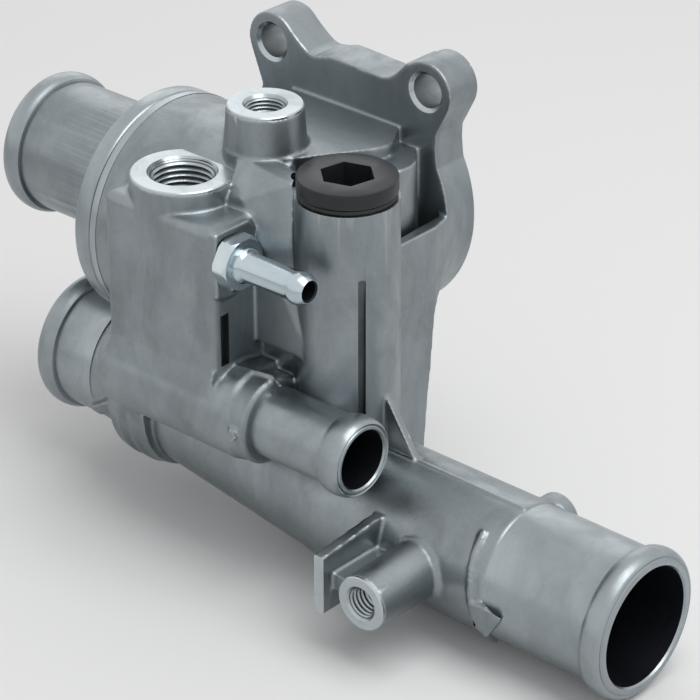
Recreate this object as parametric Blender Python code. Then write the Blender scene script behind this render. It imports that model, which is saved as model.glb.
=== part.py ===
"""Thermostat housing of a car engine: a die-cast body with its outlet cover, plug, nipple and thermostat.

The origin lies on the engine face of the mounting flange, on its centre line, 8 mm below the line of the two
upper bolt holes. +X runs along the return pipe to its pump end, +Y points into the engine and +Z is up.
Lengths are in metres.
"""

import math

import bmesh
import bpy
from mathutils import Matrix, Vector

# Clearances
GAP = 0.0003            # between pieces that touch
THREAD_GAP = 0.0004     # between a screwed piece and its hole

# Mounting flange, a plate in the XZ plane with its engine face at y = 0
FLANGE_T = 0.0103
EAR_X = 0.0253          # upper bolt holes, to each side of x = 0
EAR_Z = 0.0080
EAR_R = 0.0078
LOW_EAR_X = -0.0040     # lower stud, clear of the drum and of the pipe
LOW_EAR_Z = -0.0680
BOLT_HOLE_R = 0.0044
BOLT_CHAMFER = 0.0008
PORT_Z = -0.0265        # centre height of the engine port
PORT_R = 0.0190
PORT_RIM_R = 0.0330     # outline of the flange round the port
GROOVE_IN_R = 0.0205    # groove of the flange gasket
GROOVE_OUT_R = 0.0236
GROOVE_DEPTH = 0.0024
FLANGE_TOP_Z = 0.0080   # top edge between the ears

# Thermostat chamber, a drum along X
CHAMBER_Y = -0.0341
CHAMBER_Z = -0.0333
CHAMBER_R = 0.0296
CHAMBER_BORE_R = 0.0240
CHAMBER_MOUTH_X = -0.0383
CHAMBER_END_X = 0.0080      # inner face of the end wall, the bypass seat
CHAMBER_OUT_X = 0.0105      # where the drum ends, inside the front block
CHAMBER_CORE_R = 0.0212     # narrower body that carries the bypass on from there
SEAT_BORE_R = 0.0262        # counterbore that takes the thermostat
SEAT_DEPTH = 0.0068

# Upper body between the chamber and the flange
DECK_Z = -0.0035            # flat top
DECK_LEFT_X = -0.0180
DECK_END_X = 0.0143         # rounded right end of the deck
DECK_END_Y = -0.0203
DECK_END_R = 0.0088
SHOULDER_X = 0.0193         # lower round shoulder beside it
SHOULDER_Y = -0.0213
SHOULDER_R = 0.0100
SHOULDER_Z = -0.0070

# Column that carries the bypass channel from the chamber to the return pipe
COLUMN_X = 0.0350
COLUMN_LEFT_X = 0.0080
COLUMN_FRONT_Y = -0.0460
COLUMN_BACK_Y = -0.0200
COLUMN_LEAN = 0.0035        # its back leans towards the flange at the top
COLUMN_TOP_Z = -0.0420
WEB_T = 0.0022              # thin wall from the tower to the flange
WEB_TOP_Z = -0.0230
WEB_LOW_Z = -0.0340
CHANNEL_X = 0.0258
CHANNEL_R = 0.0062
BYPASS_R = 0.0080

# Tower of the closing plug
TOWER_X = 0.0298
TOWER_Y = -0.0435
TOWER_TOP_R = 0.0126
TOWER_BASE_R = 0.0132
TOWER_TOP_Z = -0.0057
TOWER_BORE_R = 0.0085
SPOT_FREE = 0.0010          # the plug's seat is faced this much wider than its head

# Front wall between the front block and the tower, with a ramp up to the deck
WALL_Y = -0.0560
WALL_LEFT_X = 0.0020
WALL_TOP_Z = -0.0105
WALL_LOW_Z = -0.0465
RAMP_Y = -0.0485

# Front block with the large sensor port on its top
BLOCK_LEFT_X = -0.0258
BLOCK_RIGHT_X = 0.0110
BLOCK_FRONT_Y = -0.0704
BLOCK_BACK_Y = -0.0400
BLOCK_TOP_Z = -0.0129
BLOCK_LOW_Z = -0.0600
BLOCK_CORNER_R = 0.0025
PORT1_X = -0.0108
PORT1_Y = -0.0575
PORT1_TOP_Z = -0.0076
PORT1_R = 0.0129
PORT1_THREAD_R = 0.0073     # M16 x 1.5
PORT1_CHAMFER = 0.0010
PORT1_DEPTH = 0.0180
PORT1_BORE_R = 0.0060

# Small sensor port on the deck
PORT2_X = -0.0008
PORT2_Y = -0.0389
PORT2_TOP_Z = 0.0070
PORT2_R = 0.0095
PORT2_BASE_R = 0.0102
PORT2_THREAD_R = 0.0045     # M10 x 1
PORT2_CHAMFER = 0.0010

# Return pipe along X, with a step up to its left spigot
PIPE_Y = -0.0435
PIPE_Z = -0.0870
PIPE_BORE_R = 0.0150
PIPE_R = 0.0172
PIPE_END_X = 0.1220
STEP_RIGHT_X = 0.0280
STEP_LEFT_X = -0.0450
STEP_RISE = 0.0105
SPIGOT_LEFT_END_X = -0.0632
BEAD_H = 0.0017             # bead above the tube
BEAD_L = 0.0060
BEAD_INSET = 0.0033         # bead centre behind the end face
CAST_R = 0.0175             # as-cast pipe up to the collar
COLLAR_X = 0.0862           # where the machined spigot starts
RIB_X = 0.0838              # low rib across the front of the collar
RIB_T = 0.0016
RIB_H = 0.0009
LUG_X = 0.0848              # half-round lugs behind and below the collar
LUG_R = 0.0058
LUG_T = 0.0040
HEEL_LEFT_X = -0.0365       # thick heel at the left end of the sloping stretch
HEEL_L = 0.0150
HEEL_R = 0.0207
HEEL_DROP = 0.0015          # its centre below the left spigot's axis

# Heater duct along X on the front of the pipe
HEATER_Y = -0.0615
HEATER_Z = -0.0624
HEATER_BORE_R = 0.0075
HEATER_R = 0.0089
DUCT_R = 0.0122
DUCT_LEFT_X = -0.0290
DUCT_RIGHT_X = 0.0225
DUCT_COLLAR_L = 0.0055
DUCT_COLLAR_R = 0.0114
HEATER_END_X = 0.0509
HEATER_BEAD_H = 0.0013
HEATER_BEAD_L = 0.0070
HEATER_BEAD_INSET = 0.0036

# Bracket boss on the front of the pipe, with the stop plate beside it
BRACKET_X = 0.0663
BRACKET_Z = -0.0870
BRACKET_FACE_Y = -0.0800
BRACKET_R = 0.0070
BRACKET_THREAD_R = 0.0036   # M8
BRACKET_CHAMFER = 0.0007
BRACKET_DEPTH = 0.0150
PLATE_X = 0.0533
PLATE_T = 0.0030
PLATE_TOP_Z = -0.0795
PLATE_LOW_Z = -0.0950

# Gusset between the tower and the pipe
GUSSET_T = 0.0022
GUSSET_TOP_Z = -0.0550
GUSSET_FOOT_X = 0.0530

# Outlet cover with the radiator spigot
COVER_T = 0.0040
COVER_SPIGOT_L = 0.0023
COVER_WALL = 0.0030
COVER_RELIEF = 0.0006       # the rim is cut back this far from the return pipe
OUTLET_RISE = 0.0047        # the spigot sits above the chamber's axis
OUTLET_R = 0.0172
OUTLET_BORE_R = 0.0148
OUTLET_END_X = -0.0824
OUTLET_NECK_X = -0.0500

# Closing plug
PLUG_HEAD_R = 0.0122
PLUG_HEAD_H = 0.0046
PLUG_SEAL_T = 0.0010
PLUG_SHANK_L = 0.0120
PLUG_SOCKET_AF = 0.0120
PLUG_SOCKET_DEPTH = 0.0070

# Bleed nipple
NIPPLE_Y = -0.0648
NIPPLE_Z = -0.0211
NIPPLE_TIP_X = 0.0371
NIPPLE_R = 0.0036
NIPPLE_BORE_R = 0.0024
NIPPLE_BEAD_H = 0.0004
NIPPLE_AF = 0.0125
NIPPLE_HEX_L = 0.0042
NIPPLE_THREAD_R = 0.0038
NIPPLE_THREAD_L = 0.0080
NIPPLE_PAD_R = 0.0102
NIPPLE_PAD_L = 0.0008

# Thermostat insert
FRAME_T = 0.0015
GASKET_T = 0.0020
VALVE_BORE_R = 0.0160
VALVE_R = 0.0175
VALVE_T = 0.0016
VALVE_LIFT = 0.0080
BRIDGE_W = 0.0070
BRIDGE_T = 0.0012
BRIDGE_TOP_X = -0.0475
LEG_R = 0.0195
LEG_W = 0.0080
CAPSULE_R = 0.0065
CAPSULE_END_X = -0.0085
PIN_R = 0.0018
SUPPORT_X = -0.0120
SPRING_WIRE_R = 0.0011
SPRING_R = 0.0125
SPRING_TURNS = 4.0
BYPASS_DISC_R = 0.0100
BYPASS_FREE = 0.0005        # left between the disc and its seat at full lift
BYPASS_STEM_R = 0.0022
BYPASS_SPRING_R = 0.0048
BYPASS_WIRE_R = 0.00035
BYPASS_TURNS = 3.0

ROUND = 36                  # facets round a large circle

X_AXIS, Y_AXIS, Z_AXIS = Vector((1, 0, 0)), Vector((0, 1, 0)), Vector((0, 0, 1))


def material(name, colour, roughness, metallic):
    mat = bpy.data.materials.new(name)
    mat.use_nodes = True
    shader = mat.node_tree.nodes["Principled BSDF"]
    shader.inputs["Base Color"].default_value = (*colour, 1.0)
    shader.inputs["Roughness"].default_value = roughness
    shader.inputs["Metallic"].default_value = metallic
    mat.diffuse_color = (*colour, 1.0)
    return mat


def finish(bm, name):
    bmesh.ops.recalc_face_normals(bm, faces=bm.faces)
    mesh = bpy.data.meshes.new(name)
    bm.to_mesh(mesh)
    bm.free()
    obj = bpy.data.objects.new(name, mesh)
    bpy.context.scene.collection.objects.link(obj)
    return obj


def basis(axis):
    """Two unit vectors square to the axis."""
    side = Z_AXIS if abs(axis.z) < 0.9 else X_AXIS
    first = side.cross(axis).normalized()
    return first, axis.cross(first)


def turned(name, axis, centre, profile, segments=ROUND):
    """A solid turned about the axis through centre. The profile lists (distance along the axis, radius)."""
    first, second = basis(axis)
    bm = bmesh.new()
    rings = []
    for along, radius in profile:
        middle = centre + axis * along
        rings.append([bm.verts.new(middle + radius * (math.cos(a) * first + math.sin(a) * second))
                      for a in (2 * math.pi * k / segments for k in range(segments))])
    for low, high in zip(rings, rings[1:]):
        for k in range(segments):
            n = (k + 1) % segments
            bm.faces.new((low[k], low[n], high[n], high[k]))
    bm.faces.new(rings[0])
    bm.faces.new(rings[-1])
    return finish(bm, name)


def ring(name, axis, centre, profile, segments=ROUND):
    """A ring turned about the axis. The profile is a closed outline of (distance along the axis, radius)."""
    first, second = basis(axis)
    bm = bmesh.new()
    rings = []
    for along, radius in profile:
        middle = centre + axis * along
        rings.append([bm.verts.new(middle + radius * (math.cos(a) * first + math.sin(a) * second))
                      for a in (2 * math.pi * k / segments for k in range(segments))])
    for low, high in zip(rings, rings[1:] + rings[:1]):
        for k in range(segments):
            n = (k + 1) % segments
            bm.faces.new((low[k], low[n], high[n], high[k]))
    return finish(bm, name)


def hull(name, points):
    bm = bmesh.new()
    for point in points:
        bm.verts.new(point)
    result = bmesh.ops.convex_hull(bm, input=bm.verts)
    bmesh.ops.delete(bm, geom=list(set(result["geom_interior"] + result["geom_unused"])), context="VERTS")
    bmesh.ops.dissolve_limit(bm, angle_limit=math.radians(0.02), verts=bm.verts, edges=bm.edges)
    return finish(bm, name)


def circle(axis, centre, radius, segments=ROUND):
    first, second = basis(axis)
    return [centre + radius * (math.cos(a) * first + math.sin(a) * second)
            for a in (2 * math.pi * k / segments for k in range(segments))]


def prism(name, outline, direction):
    """A flat outline of points, extruded along the direction."""
    bm = bmesh.new()
    face = bm.faces.new([bm.verts.new(p) for p in outline])
    moved = bmesh.ops.extrude_face_region(bm, geom=[face])["geom"]
    bmesh.ops.translate(bm, verts=[v for v in moved if isinstance(v, bmesh.types.BMVert)], vec=direction)
    return finish(bm, name)


def box(name, x0, x1, y0, y1, z0, z1, round_z=0.0):
    """A box; round_z rounds its upright edges."""
    bm = bmesh.new()
    size = Matrix.Diagonal((x1 - x0, y1 - y0, z1 - z0, 1.0))
    place = Matrix.Translation(((x0 + x1) / 2, (y0 + y1) / 2, (z0 + z1) / 2))
    bmesh.ops.create_cube(bm, size=1.0, matrix=place @ size)
    if round_z > 0:
        upright = [e for e in bm.edges if abs((e.verts[0].co - e.verts[1].co).normalized().z) > 0.9]
        bmesh.ops.bevel(bm, geom=upright, offset=round_z, segments=4, profile=0.5, affect="EDGES")
    return finish(bm, name)


def combine(base, others, operation):
    """Joins or cuts the base with the others, and leaves only the base."""
    for other in others:
        step = base.modifiers.new(other.name, "BOOLEAN")
        step.object, step.operation, step.solver = other, operation, "EXACT"
    view = bpy.context.evaluated_depsgraph_get()
    mesh = bpy.data.meshes.new_from_object(base.evaluated_get(view))
    base.modifiers.clear()
    base.data = mesh
    for other in others:
        bpy.data.objects.remove(other)
    return base


def tidy(obj, mat, angle=30.0):
    """Clears the seams that the joins leave, and sets the finish."""
    bm = bmesh.new()
    bm.from_mesh(obj.data)
    bmesh.ops.remove_doubles(bm, verts=bm.verts, dist=0.000002)
    bmesh.ops.dissolve_degenerate(bm, edges=bm.edges, dist=0.000002)
    bmesh.ops.dissolve_limit(bm, angle_limit=math.radians(0.2), verts=bm.verts, edges=bm.edges)
    loose = [e for e in bm.edges if not e.link_faces]
    bmesh.ops.delete(bm, geom=loose, context="EDGES")
    bmesh.ops.triangulate(bm, faces=bm.faces)
    bm.to_mesh(obj.data)
    bm.free()
    obj.data.shade_smooth()
    obj.data.set_sharp_from_angle(angle=math.radians(angle))
    obj.data.materials.clear()
    obj.data.materials.append(mat)
    return obj


def arc(centre, radius, start, end, steps):
    """Points (u, v) on an arc, angles in degrees."""
    return [(centre[0] + radius * math.cos(math.radians(start + (end - start) * k / steps)),
             centre[1] + radius * math.sin(math.radians(start + (end - start) * k / steps)))
            for k in range(steps + 1)]


def spigot_end(length, tube_r, bead_h, bead_l, bead_inset, lip=0.0008):
    """Profile of a hose spigot's last stretch: (distance, radius) from behind the bead to the end at length."""
    mid = length - bead_inset
    profile = [(mid - bead_l / 2, tube_r), (mid - bead_l / 2 + 0.0003, tube_r + 0.55 * bead_h)]
    for k in range(4):
        a = math.pi * (0.22 + 0.70 * k / 3)
        profile.append((mid - bead_l / 2 * math.cos(a), tube_r + bead_h * math.sin(a)))
    return profile + [(length - 0.0004, tube_r - 0.0002), (length, tube_r - lip)]


def loft(name, rings, segments=ROUND):
    """A solid through circles that stand square to X. Each is (x, height of its centre, radius)."""
    bm = bmesh.new()
    rows = [[bm.verts.new((x, PIPE_Y + radius * math.cos(a), height + radius * math.sin(a)))
             for a in (2 * math.pi * k / segments for k in range(segments))] for x, height, radius in rings]
    for low, high in zip(rows, rows[1:]):
        for k in range(segments):
            n = (k + 1) % segments
            bm.faces.new((low[k], low[n], high[n], high[k]))
    bm.faces.new(rows[0])
    bm.faces.new(rows[-1])
    return finish(bm, name)


# Housing casting: the solid forms

def flange_plate():
    """The mounting plate: two ears above the round port and a third below it."""
    left = arc((-EAR_X, EAR_Z - 0.0005), EAR_R, 205, 20, 10)
    sag = [(-EAR_X + 0.0125, FLANGE_TOP_Z - 0.0005), (-0.0040, FLANGE_TOP_Z + 0.0008),
           (EAR_X - 0.0150, FLANGE_TOP_Z), (EAR_X - 0.0102, FLANGE_TOP_Z + 0.0014)]
    right = arc((EAR_X, EAR_Z), EAR_R, 150, -28, 10)
    waist = [(EAR_X + 0.0034, EAR_Z - 0.0105), (EAR_X + 0.0033, EAR_Z - 0.0140)]
    side = arc((0.0, PORT_Z), PORT_RIM_R, 28, -62, 14)
    low = arc((LOW_EAR_X, LOW_EAR_Z), EAR_R, -12, -168, 10)
    back = arc((0.0, PORT_Z), PORT_RIM_R, 242, 160, 12) + [(-EAR_X - 0.0035, EAR_Z - 0.0130)]
    outline = left + sag + right + waist + side + low + back
    return prism("flange", [Vector((x, 0.0, z)) for x, z in outline], Vector((0, -FLANGE_T, 0)))


def casting_forms():
    pipe_axis = Vector((0, PIPE_Y, PIPE_Z))
    left_axis = Vector((0, PIPE_Y, PIPE_Z + STEP_RISE))
    chamber = Vector((0, CHAMBER_Y, CHAMBER_Z))
    heater = Vector((0, HEATER_Y, HEATER_Z))
    forms = []

    # Chamber drum, its neck to the flange and the flat-topped upper body
    forms.append(turned("chamber", X_AXIS, chamber + X_AXIS * CHAMBER_MOUTH_X,
                        [(0, CHAMBER_R - 0.0006), (0.0006, CHAMBER_R),
                         (CHAMBER_OUT_X - CHAMBER_MOUTH_X, CHAMBER_R), (CHAMBER_OUT_X - CHAMBER_MOUTH_X, CHAMBER_CORE_R),
                         (TOWER_X - TOWER_TOP_R - CHAMBER_MOUTH_X + 0.002, CHAMBER_CORE_R)]))
    forms.append(flange_plate())
    forms.append(turned("neck", Y_AXIS, Vector((0, CHAMBER_Y, PORT_Z)),
                        [(0, PORT_R + 0.0065), (-CHAMBER_Y - FLANGE_T / 2, PORT_R + 0.0080)]))
    deck = []
    for height in (DECK_Z, CHAMBER_Z):
        deck += circle(Z_AXIS, Vector((DECK_END_X, DECK_END_Y, height)), DECK_END_R, 32)
        deck += circle(Z_AXIS, Vector((PORT2_X, PORT2_Y, height)), PORT2_BASE_R + 0.0002, 32)
        deck += [Vector((DECK_LEFT_X, CHAMBER_Y, height)), Vector((DECK_LEFT_X, -FLANGE_T / 2, height)),
                 Vector((DECK_END_X, -FLANGE_T / 2, height))]
    forms.append(hull("deck", deck))
    forms.append(turned("shoulder", Z_AXIS, Vector((SHOULDER_X, SHOULDER_Y, COLUMN_TOP_Z - 0.003)),
                        [(0, SHOULDER_R + 0.0006), (SHOULDER_Z - COLUMN_TOP_Z + 0.002, SHOULDER_R),
                         (SHOULDER_Z - COLUMN_TOP_Z + 0.003, SHOULDER_R - 0.0010)], 32))
    forms.append(box("shoulder_back", DECK_END_X, SHOULDER_X + SHOULDER_R - 0.0040, SHOULDER_Y, -FLANGE_T / 2,
                     COLUMN_TOP_Z - 0.003, SHOULDER_Z - 0.0004))

    # Column and ledge behind the tower
    column = [Vector((x, y + back, z)) for z, back, right in
              ((PIPE_Z, 0.0, -0.0005), (COLUMN_TOP_Z, COLUMN_LEAN, 0.0))
              for x, y in ((COLUMN_LEFT_X, COLUMN_BACK_Y), (COLUMN_X + right, COLUMN_BACK_Y))]
    column += [Vector((x, COLUMN_FRONT_Y, z)) for x in (COLUMN_LEFT_X, COLUMN_X) for z in (PIPE_Z, COLUMN_TOP_Z)]
    forms.append(hull("column", column))
    side = [(TOWER_Y, WEB_TOP_Z), (-FLANGE_T / 2, WEB_TOP_Z), (-FLANGE_T / 2, WEB_LOW_Z),
            (COLUMN_BACK_Y + COLUMN_LEAN, COLUMN_TOP_Z - 0.004), (TOWER_Y, COLUMN_TOP_Z - 0.004)]
    forms.append(prism("web", [Vector((COLUMN_X - WEB_T, y, z)) for y, z in side],
                       Vector((WEB_T - 0.0004, 0, 0))))

    # Tower of the closing plug
    forms.append(turned("tower", Z_AXIS, Vector((TOWER_X, TOWER_Y, PIPE_Z)),
                        [(0, TOWER_BASE_R), (TOWER_TOP_Z - PIPE_Z, TOWER_TOP_R)]))

    # Front wall, front block and the two sensor ports
    wall = [Vector((x, y, WALL_LOW_Z)) for x in (WALL_LEFT_X, TOWER_X) for y in (WALL_Y, PIPE_Y)]
    wall += [Vector((WALL_LEFT_X, WALL_Y, WALL_TOP_Z)), Vector((TOWER_X - 0.0095, WALL_Y + 0.0015, DECK_Z - 0.0035)),
             Vector((PORT2_X, RAMP_Y, DECK_Z - 0.0002)), Vector((TOWER_X - 0.0150, RAMP_Y, DECK_Z - 0.0002)),
             Vector((TOWER_X, PIPE_Y, TOWER_TOP_Z - 0.0005)), Vector((PORT2_X, PIPE_Y, DECK_Z - 0.0002))]
    forms.append(hull("wall", wall))
    forms.append(box("block", BLOCK_LEFT_X, BLOCK_RIGHT_X, BLOCK_FRONT_Y, BLOCK_BACK_Y,
                     BLOCK_LOW_Z, BLOCK_TOP_Z, BLOCK_CORNER_R))
    forms.append(turned("port1", Z_AXIS, Vector((PORT1_X, PORT1_Y, BLOCK_TOP_Z - 0.004)),
                        [(0, PORT1_R + 0.0002), (PORT1_TOP_Z - BLOCK_TOP_Z + 0.004, PORT1_R)]))
    forms.append(turned("port2", Z_AXIS, Vector((PORT2_X, PORT2_Y, DECK_Z - 0.010)),
                        [(0, PORT2_BASE_R), (0.010, PORT2_BASE_R),
                         (PORT2_TOP_Z - DECK_Z + 0.010, PORT2_R)]))

    # Return pipe: right stretch, sloping stretch, left spigot
    right = spigot_end(PIPE_END_X, PIPE_R, BEAD_H, BEAD_L, BEAD_INSET)
    left = spigot_end(-SPIGOT_LEFT_END_X, PIPE_R - 0.0003, BEAD_H, BEAD_L, BEAD_INSET)
    forms.append(loft("pipe", [(-x, left_axis.z, radius) for x, radius in reversed(left)]
                      + [(STEP_LEFT_X, left_axis.z, PIPE_R - 0.0004), (STEP_RIGHT_X, PIPE_Z, CAST_R),
                         (COLLAR_X - 0.0007, PIPE_Z, CAST_R), (COLLAR_X, PIPE_Z, PIPE_R)]
                      + [(x, PIPE_Z, radius) for x, radius in right]))
    heel = left_axis - Z_AXIS * HEEL_DROP
    forms.append(turned("heel", X_AXIS, heel + X_AXIS * HEEL_LEFT_X,
                        [(0, PIPE_R - 0.0004), (0.0010, HEEL_R - 0.0020), (0.0030, HEEL_R - 0.0005),
                         (0.0060, HEEL_R), (HEEL_L, HEEL_R - 0.0005)]))
    forms.append(hull("heel_web", circle(X_AXIS, heel + X_AXIS * (HEEL_LEFT_X + 0.003), HEEL_R - 0.0012)
                      + circle(X_AXIS, heel + X_AXIS * (HEEL_LEFT_X + HEEL_L - 0.001), HEEL_R - 0.0012)
                      + circle(X_AXIS, heater + X_AXIS * (HEEL_LEFT_X + 0.0005), DUCT_R * 0.45, 24)
                      + circle(X_AXIS, heater + X_AXIS * (HEEL_LEFT_X + HEEL_L - 0.001), DUCT_R * 0.6, 24)))
    rib = turned("rib", X_AXIS, pipe_axis + X_AXIS * (RIB_X - RIB_T / 2),
                 [(0, CAST_R + RIB_H), (RIB_T, CAST_R + RIB_H)])
    front = box("front", RIB_X - 0.01, RIB_X + 0.01, PIPE_Y - 0.03, PIPE_Y - 0.006, PIPE_Z - 0.02, PIPE_Z + 0.016)
    forms.append(combine(rib, [front], "INTERSECT"))
    for side, height in ((1, 0.0088), (-1, -0.0108)):
        forms.append(turned(f"lug{side}", Y_AXIS,
                            pipe_axis + Vector((LUG_X, side * (PIPE_R - 0.0045) - LUG_T / 2, height)),
                            [(0, LUG_R), (LUG_T, LUG_R)], 24))

    # Heater duct, its collar and spigot, and the metal that ties it to the pipe and the chamber
    length = DUCT_RIGHT_X - DUCT_COLLAR_L - DUCT_LEFT_X
    end = spigot_end(HEATER_END_X - DUCT_LEFT_X, HEATER_R, HEATER_BEAD_H, HEATER_BEAD_L, HEATER_BEAD_INSET, 0.0005)
    forms.append(turned("duct", X_AXIS, heater + X_AXIS * DUCT_LEFT_X,
                        [(0, DUCT_R - 0.002), (0.002, DUCT_R), (length - 0.0010, DUCT_R),
                         (length, DUCT_COLLAR_R), (length + DUCT_COLLAR_L - 0.001, DUCT_COLLAR_R),
                         (length + DUCT_COLLAR_L, DUCT_COLLAR_R - 0.001),
                         (length + DUCT_COLLAR_L, HEATER_R)] + end))
    forms.append(box("saddle", DUCT_LEFT_X + 0.001, DUCT_RIGHT_X - DUCT_COLLAR_L - 0.0006,
                     HEATER_Y - DUCT_R * 0.55, PIPE_Y + 0.010, PIPE_Z + 0.0115, BLOCK_LOW_Z + 0.004))
    forms.append(box("core", BLOCK_LEFT_X + 0.0007, COLUMN_X - 0.004, PIPE_Y - 0.010, PIPE_Y + 0.012,
                     PIPE_Z + 0.0131, CHAMBER_Z))

    # Bleed pad, bracket boss, stop plate and gusset
    pad = turned("bleed_pad", X_AXIS, Vector((BLOCK_RIGHT_X - 0.004, NIPPLE_Y, NIPPLE_Z)),
                 [(0, NIPPLE_PAD_R), (0.004 + NIPPLE_PAD_L, NIPPLE_PAD_R)], 36)
    room = box("room", BLOCK_RIGHT_X - 0.01, BLOCK_RIGHT_X + 0.01, BLOCK_FRONT_Y + 0.0006,
               NIPPLE_Y + 2 * NIPPLE_PAD_R, NIPPLE_Z - 2 * NIPPLE_PAD_R, BLOCK_TOP_Z - 0.0004)
    forms.append(combine(pad, [room], "INTERSECT"))
    forms.append(turned("bracket", Y_AXIS, Vector((BRACKET_X, BRACKET_FACE_Y, BRACKET_Z)),
                        [(0, BRACKET_R - 0.0004), (0.0004, BRACKET_R),
                         (PIPE_Y - BRACKET_FACE_Y, BRACKET_R + 0.0006)], 36))
    forms.append(box("plate", PLATE_X - PLATE_T / 2, PLATE_X + PLATE_T / 2, BRACKET_FACE_Y, PIPE_Y,
                     PLATE_LOW_Z, PLATE_TOP_Z))
    forms.append(box("bridge", PLATE_X, BRACKET_X, BRACKET_FACE_Y + 0.0030, PIPE_Y,
                     BRACKET_Z - 0.0022, BRACKET_Z + 0.0022))
    gusset = [(TOWER_X, GUSSET_TOP_Z), (TOWER_X + TOWER_BASE_R, GUSSET_TOP_Z),
              (GUSSET_FOOT_X, PIPE_Z + PIPE_R - 0.0004), (GUSSET_FOOT_X, PIPE_Z), (TOWER_X, PIPE_Z)]
    forms.append(prism("gusset", [Vector((x, TOWER_Y - GUSSET_T / 2, z)) for x, z in gusset],
                       Vector((0, GUSSET_T, 0))))
    return forms


def hole(name, axis, face, radius, depth, chamfer=0.0, tip=0.0, segments=28):
    """A drilled hole that starts 1 mm outside the face, with a chamfer there and a drill point."""
    profile = [(-0.001, radius + chamfer + 0.001), (chamfer, radius), (depth, radius)]
    if not chamfer:
        profile = [(-0.001, radius), (depth, radius)]
    if tip:
        profile.append((depth + tip, 0.0002))
    return turned(name, axis, face, profile, segments)


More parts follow.
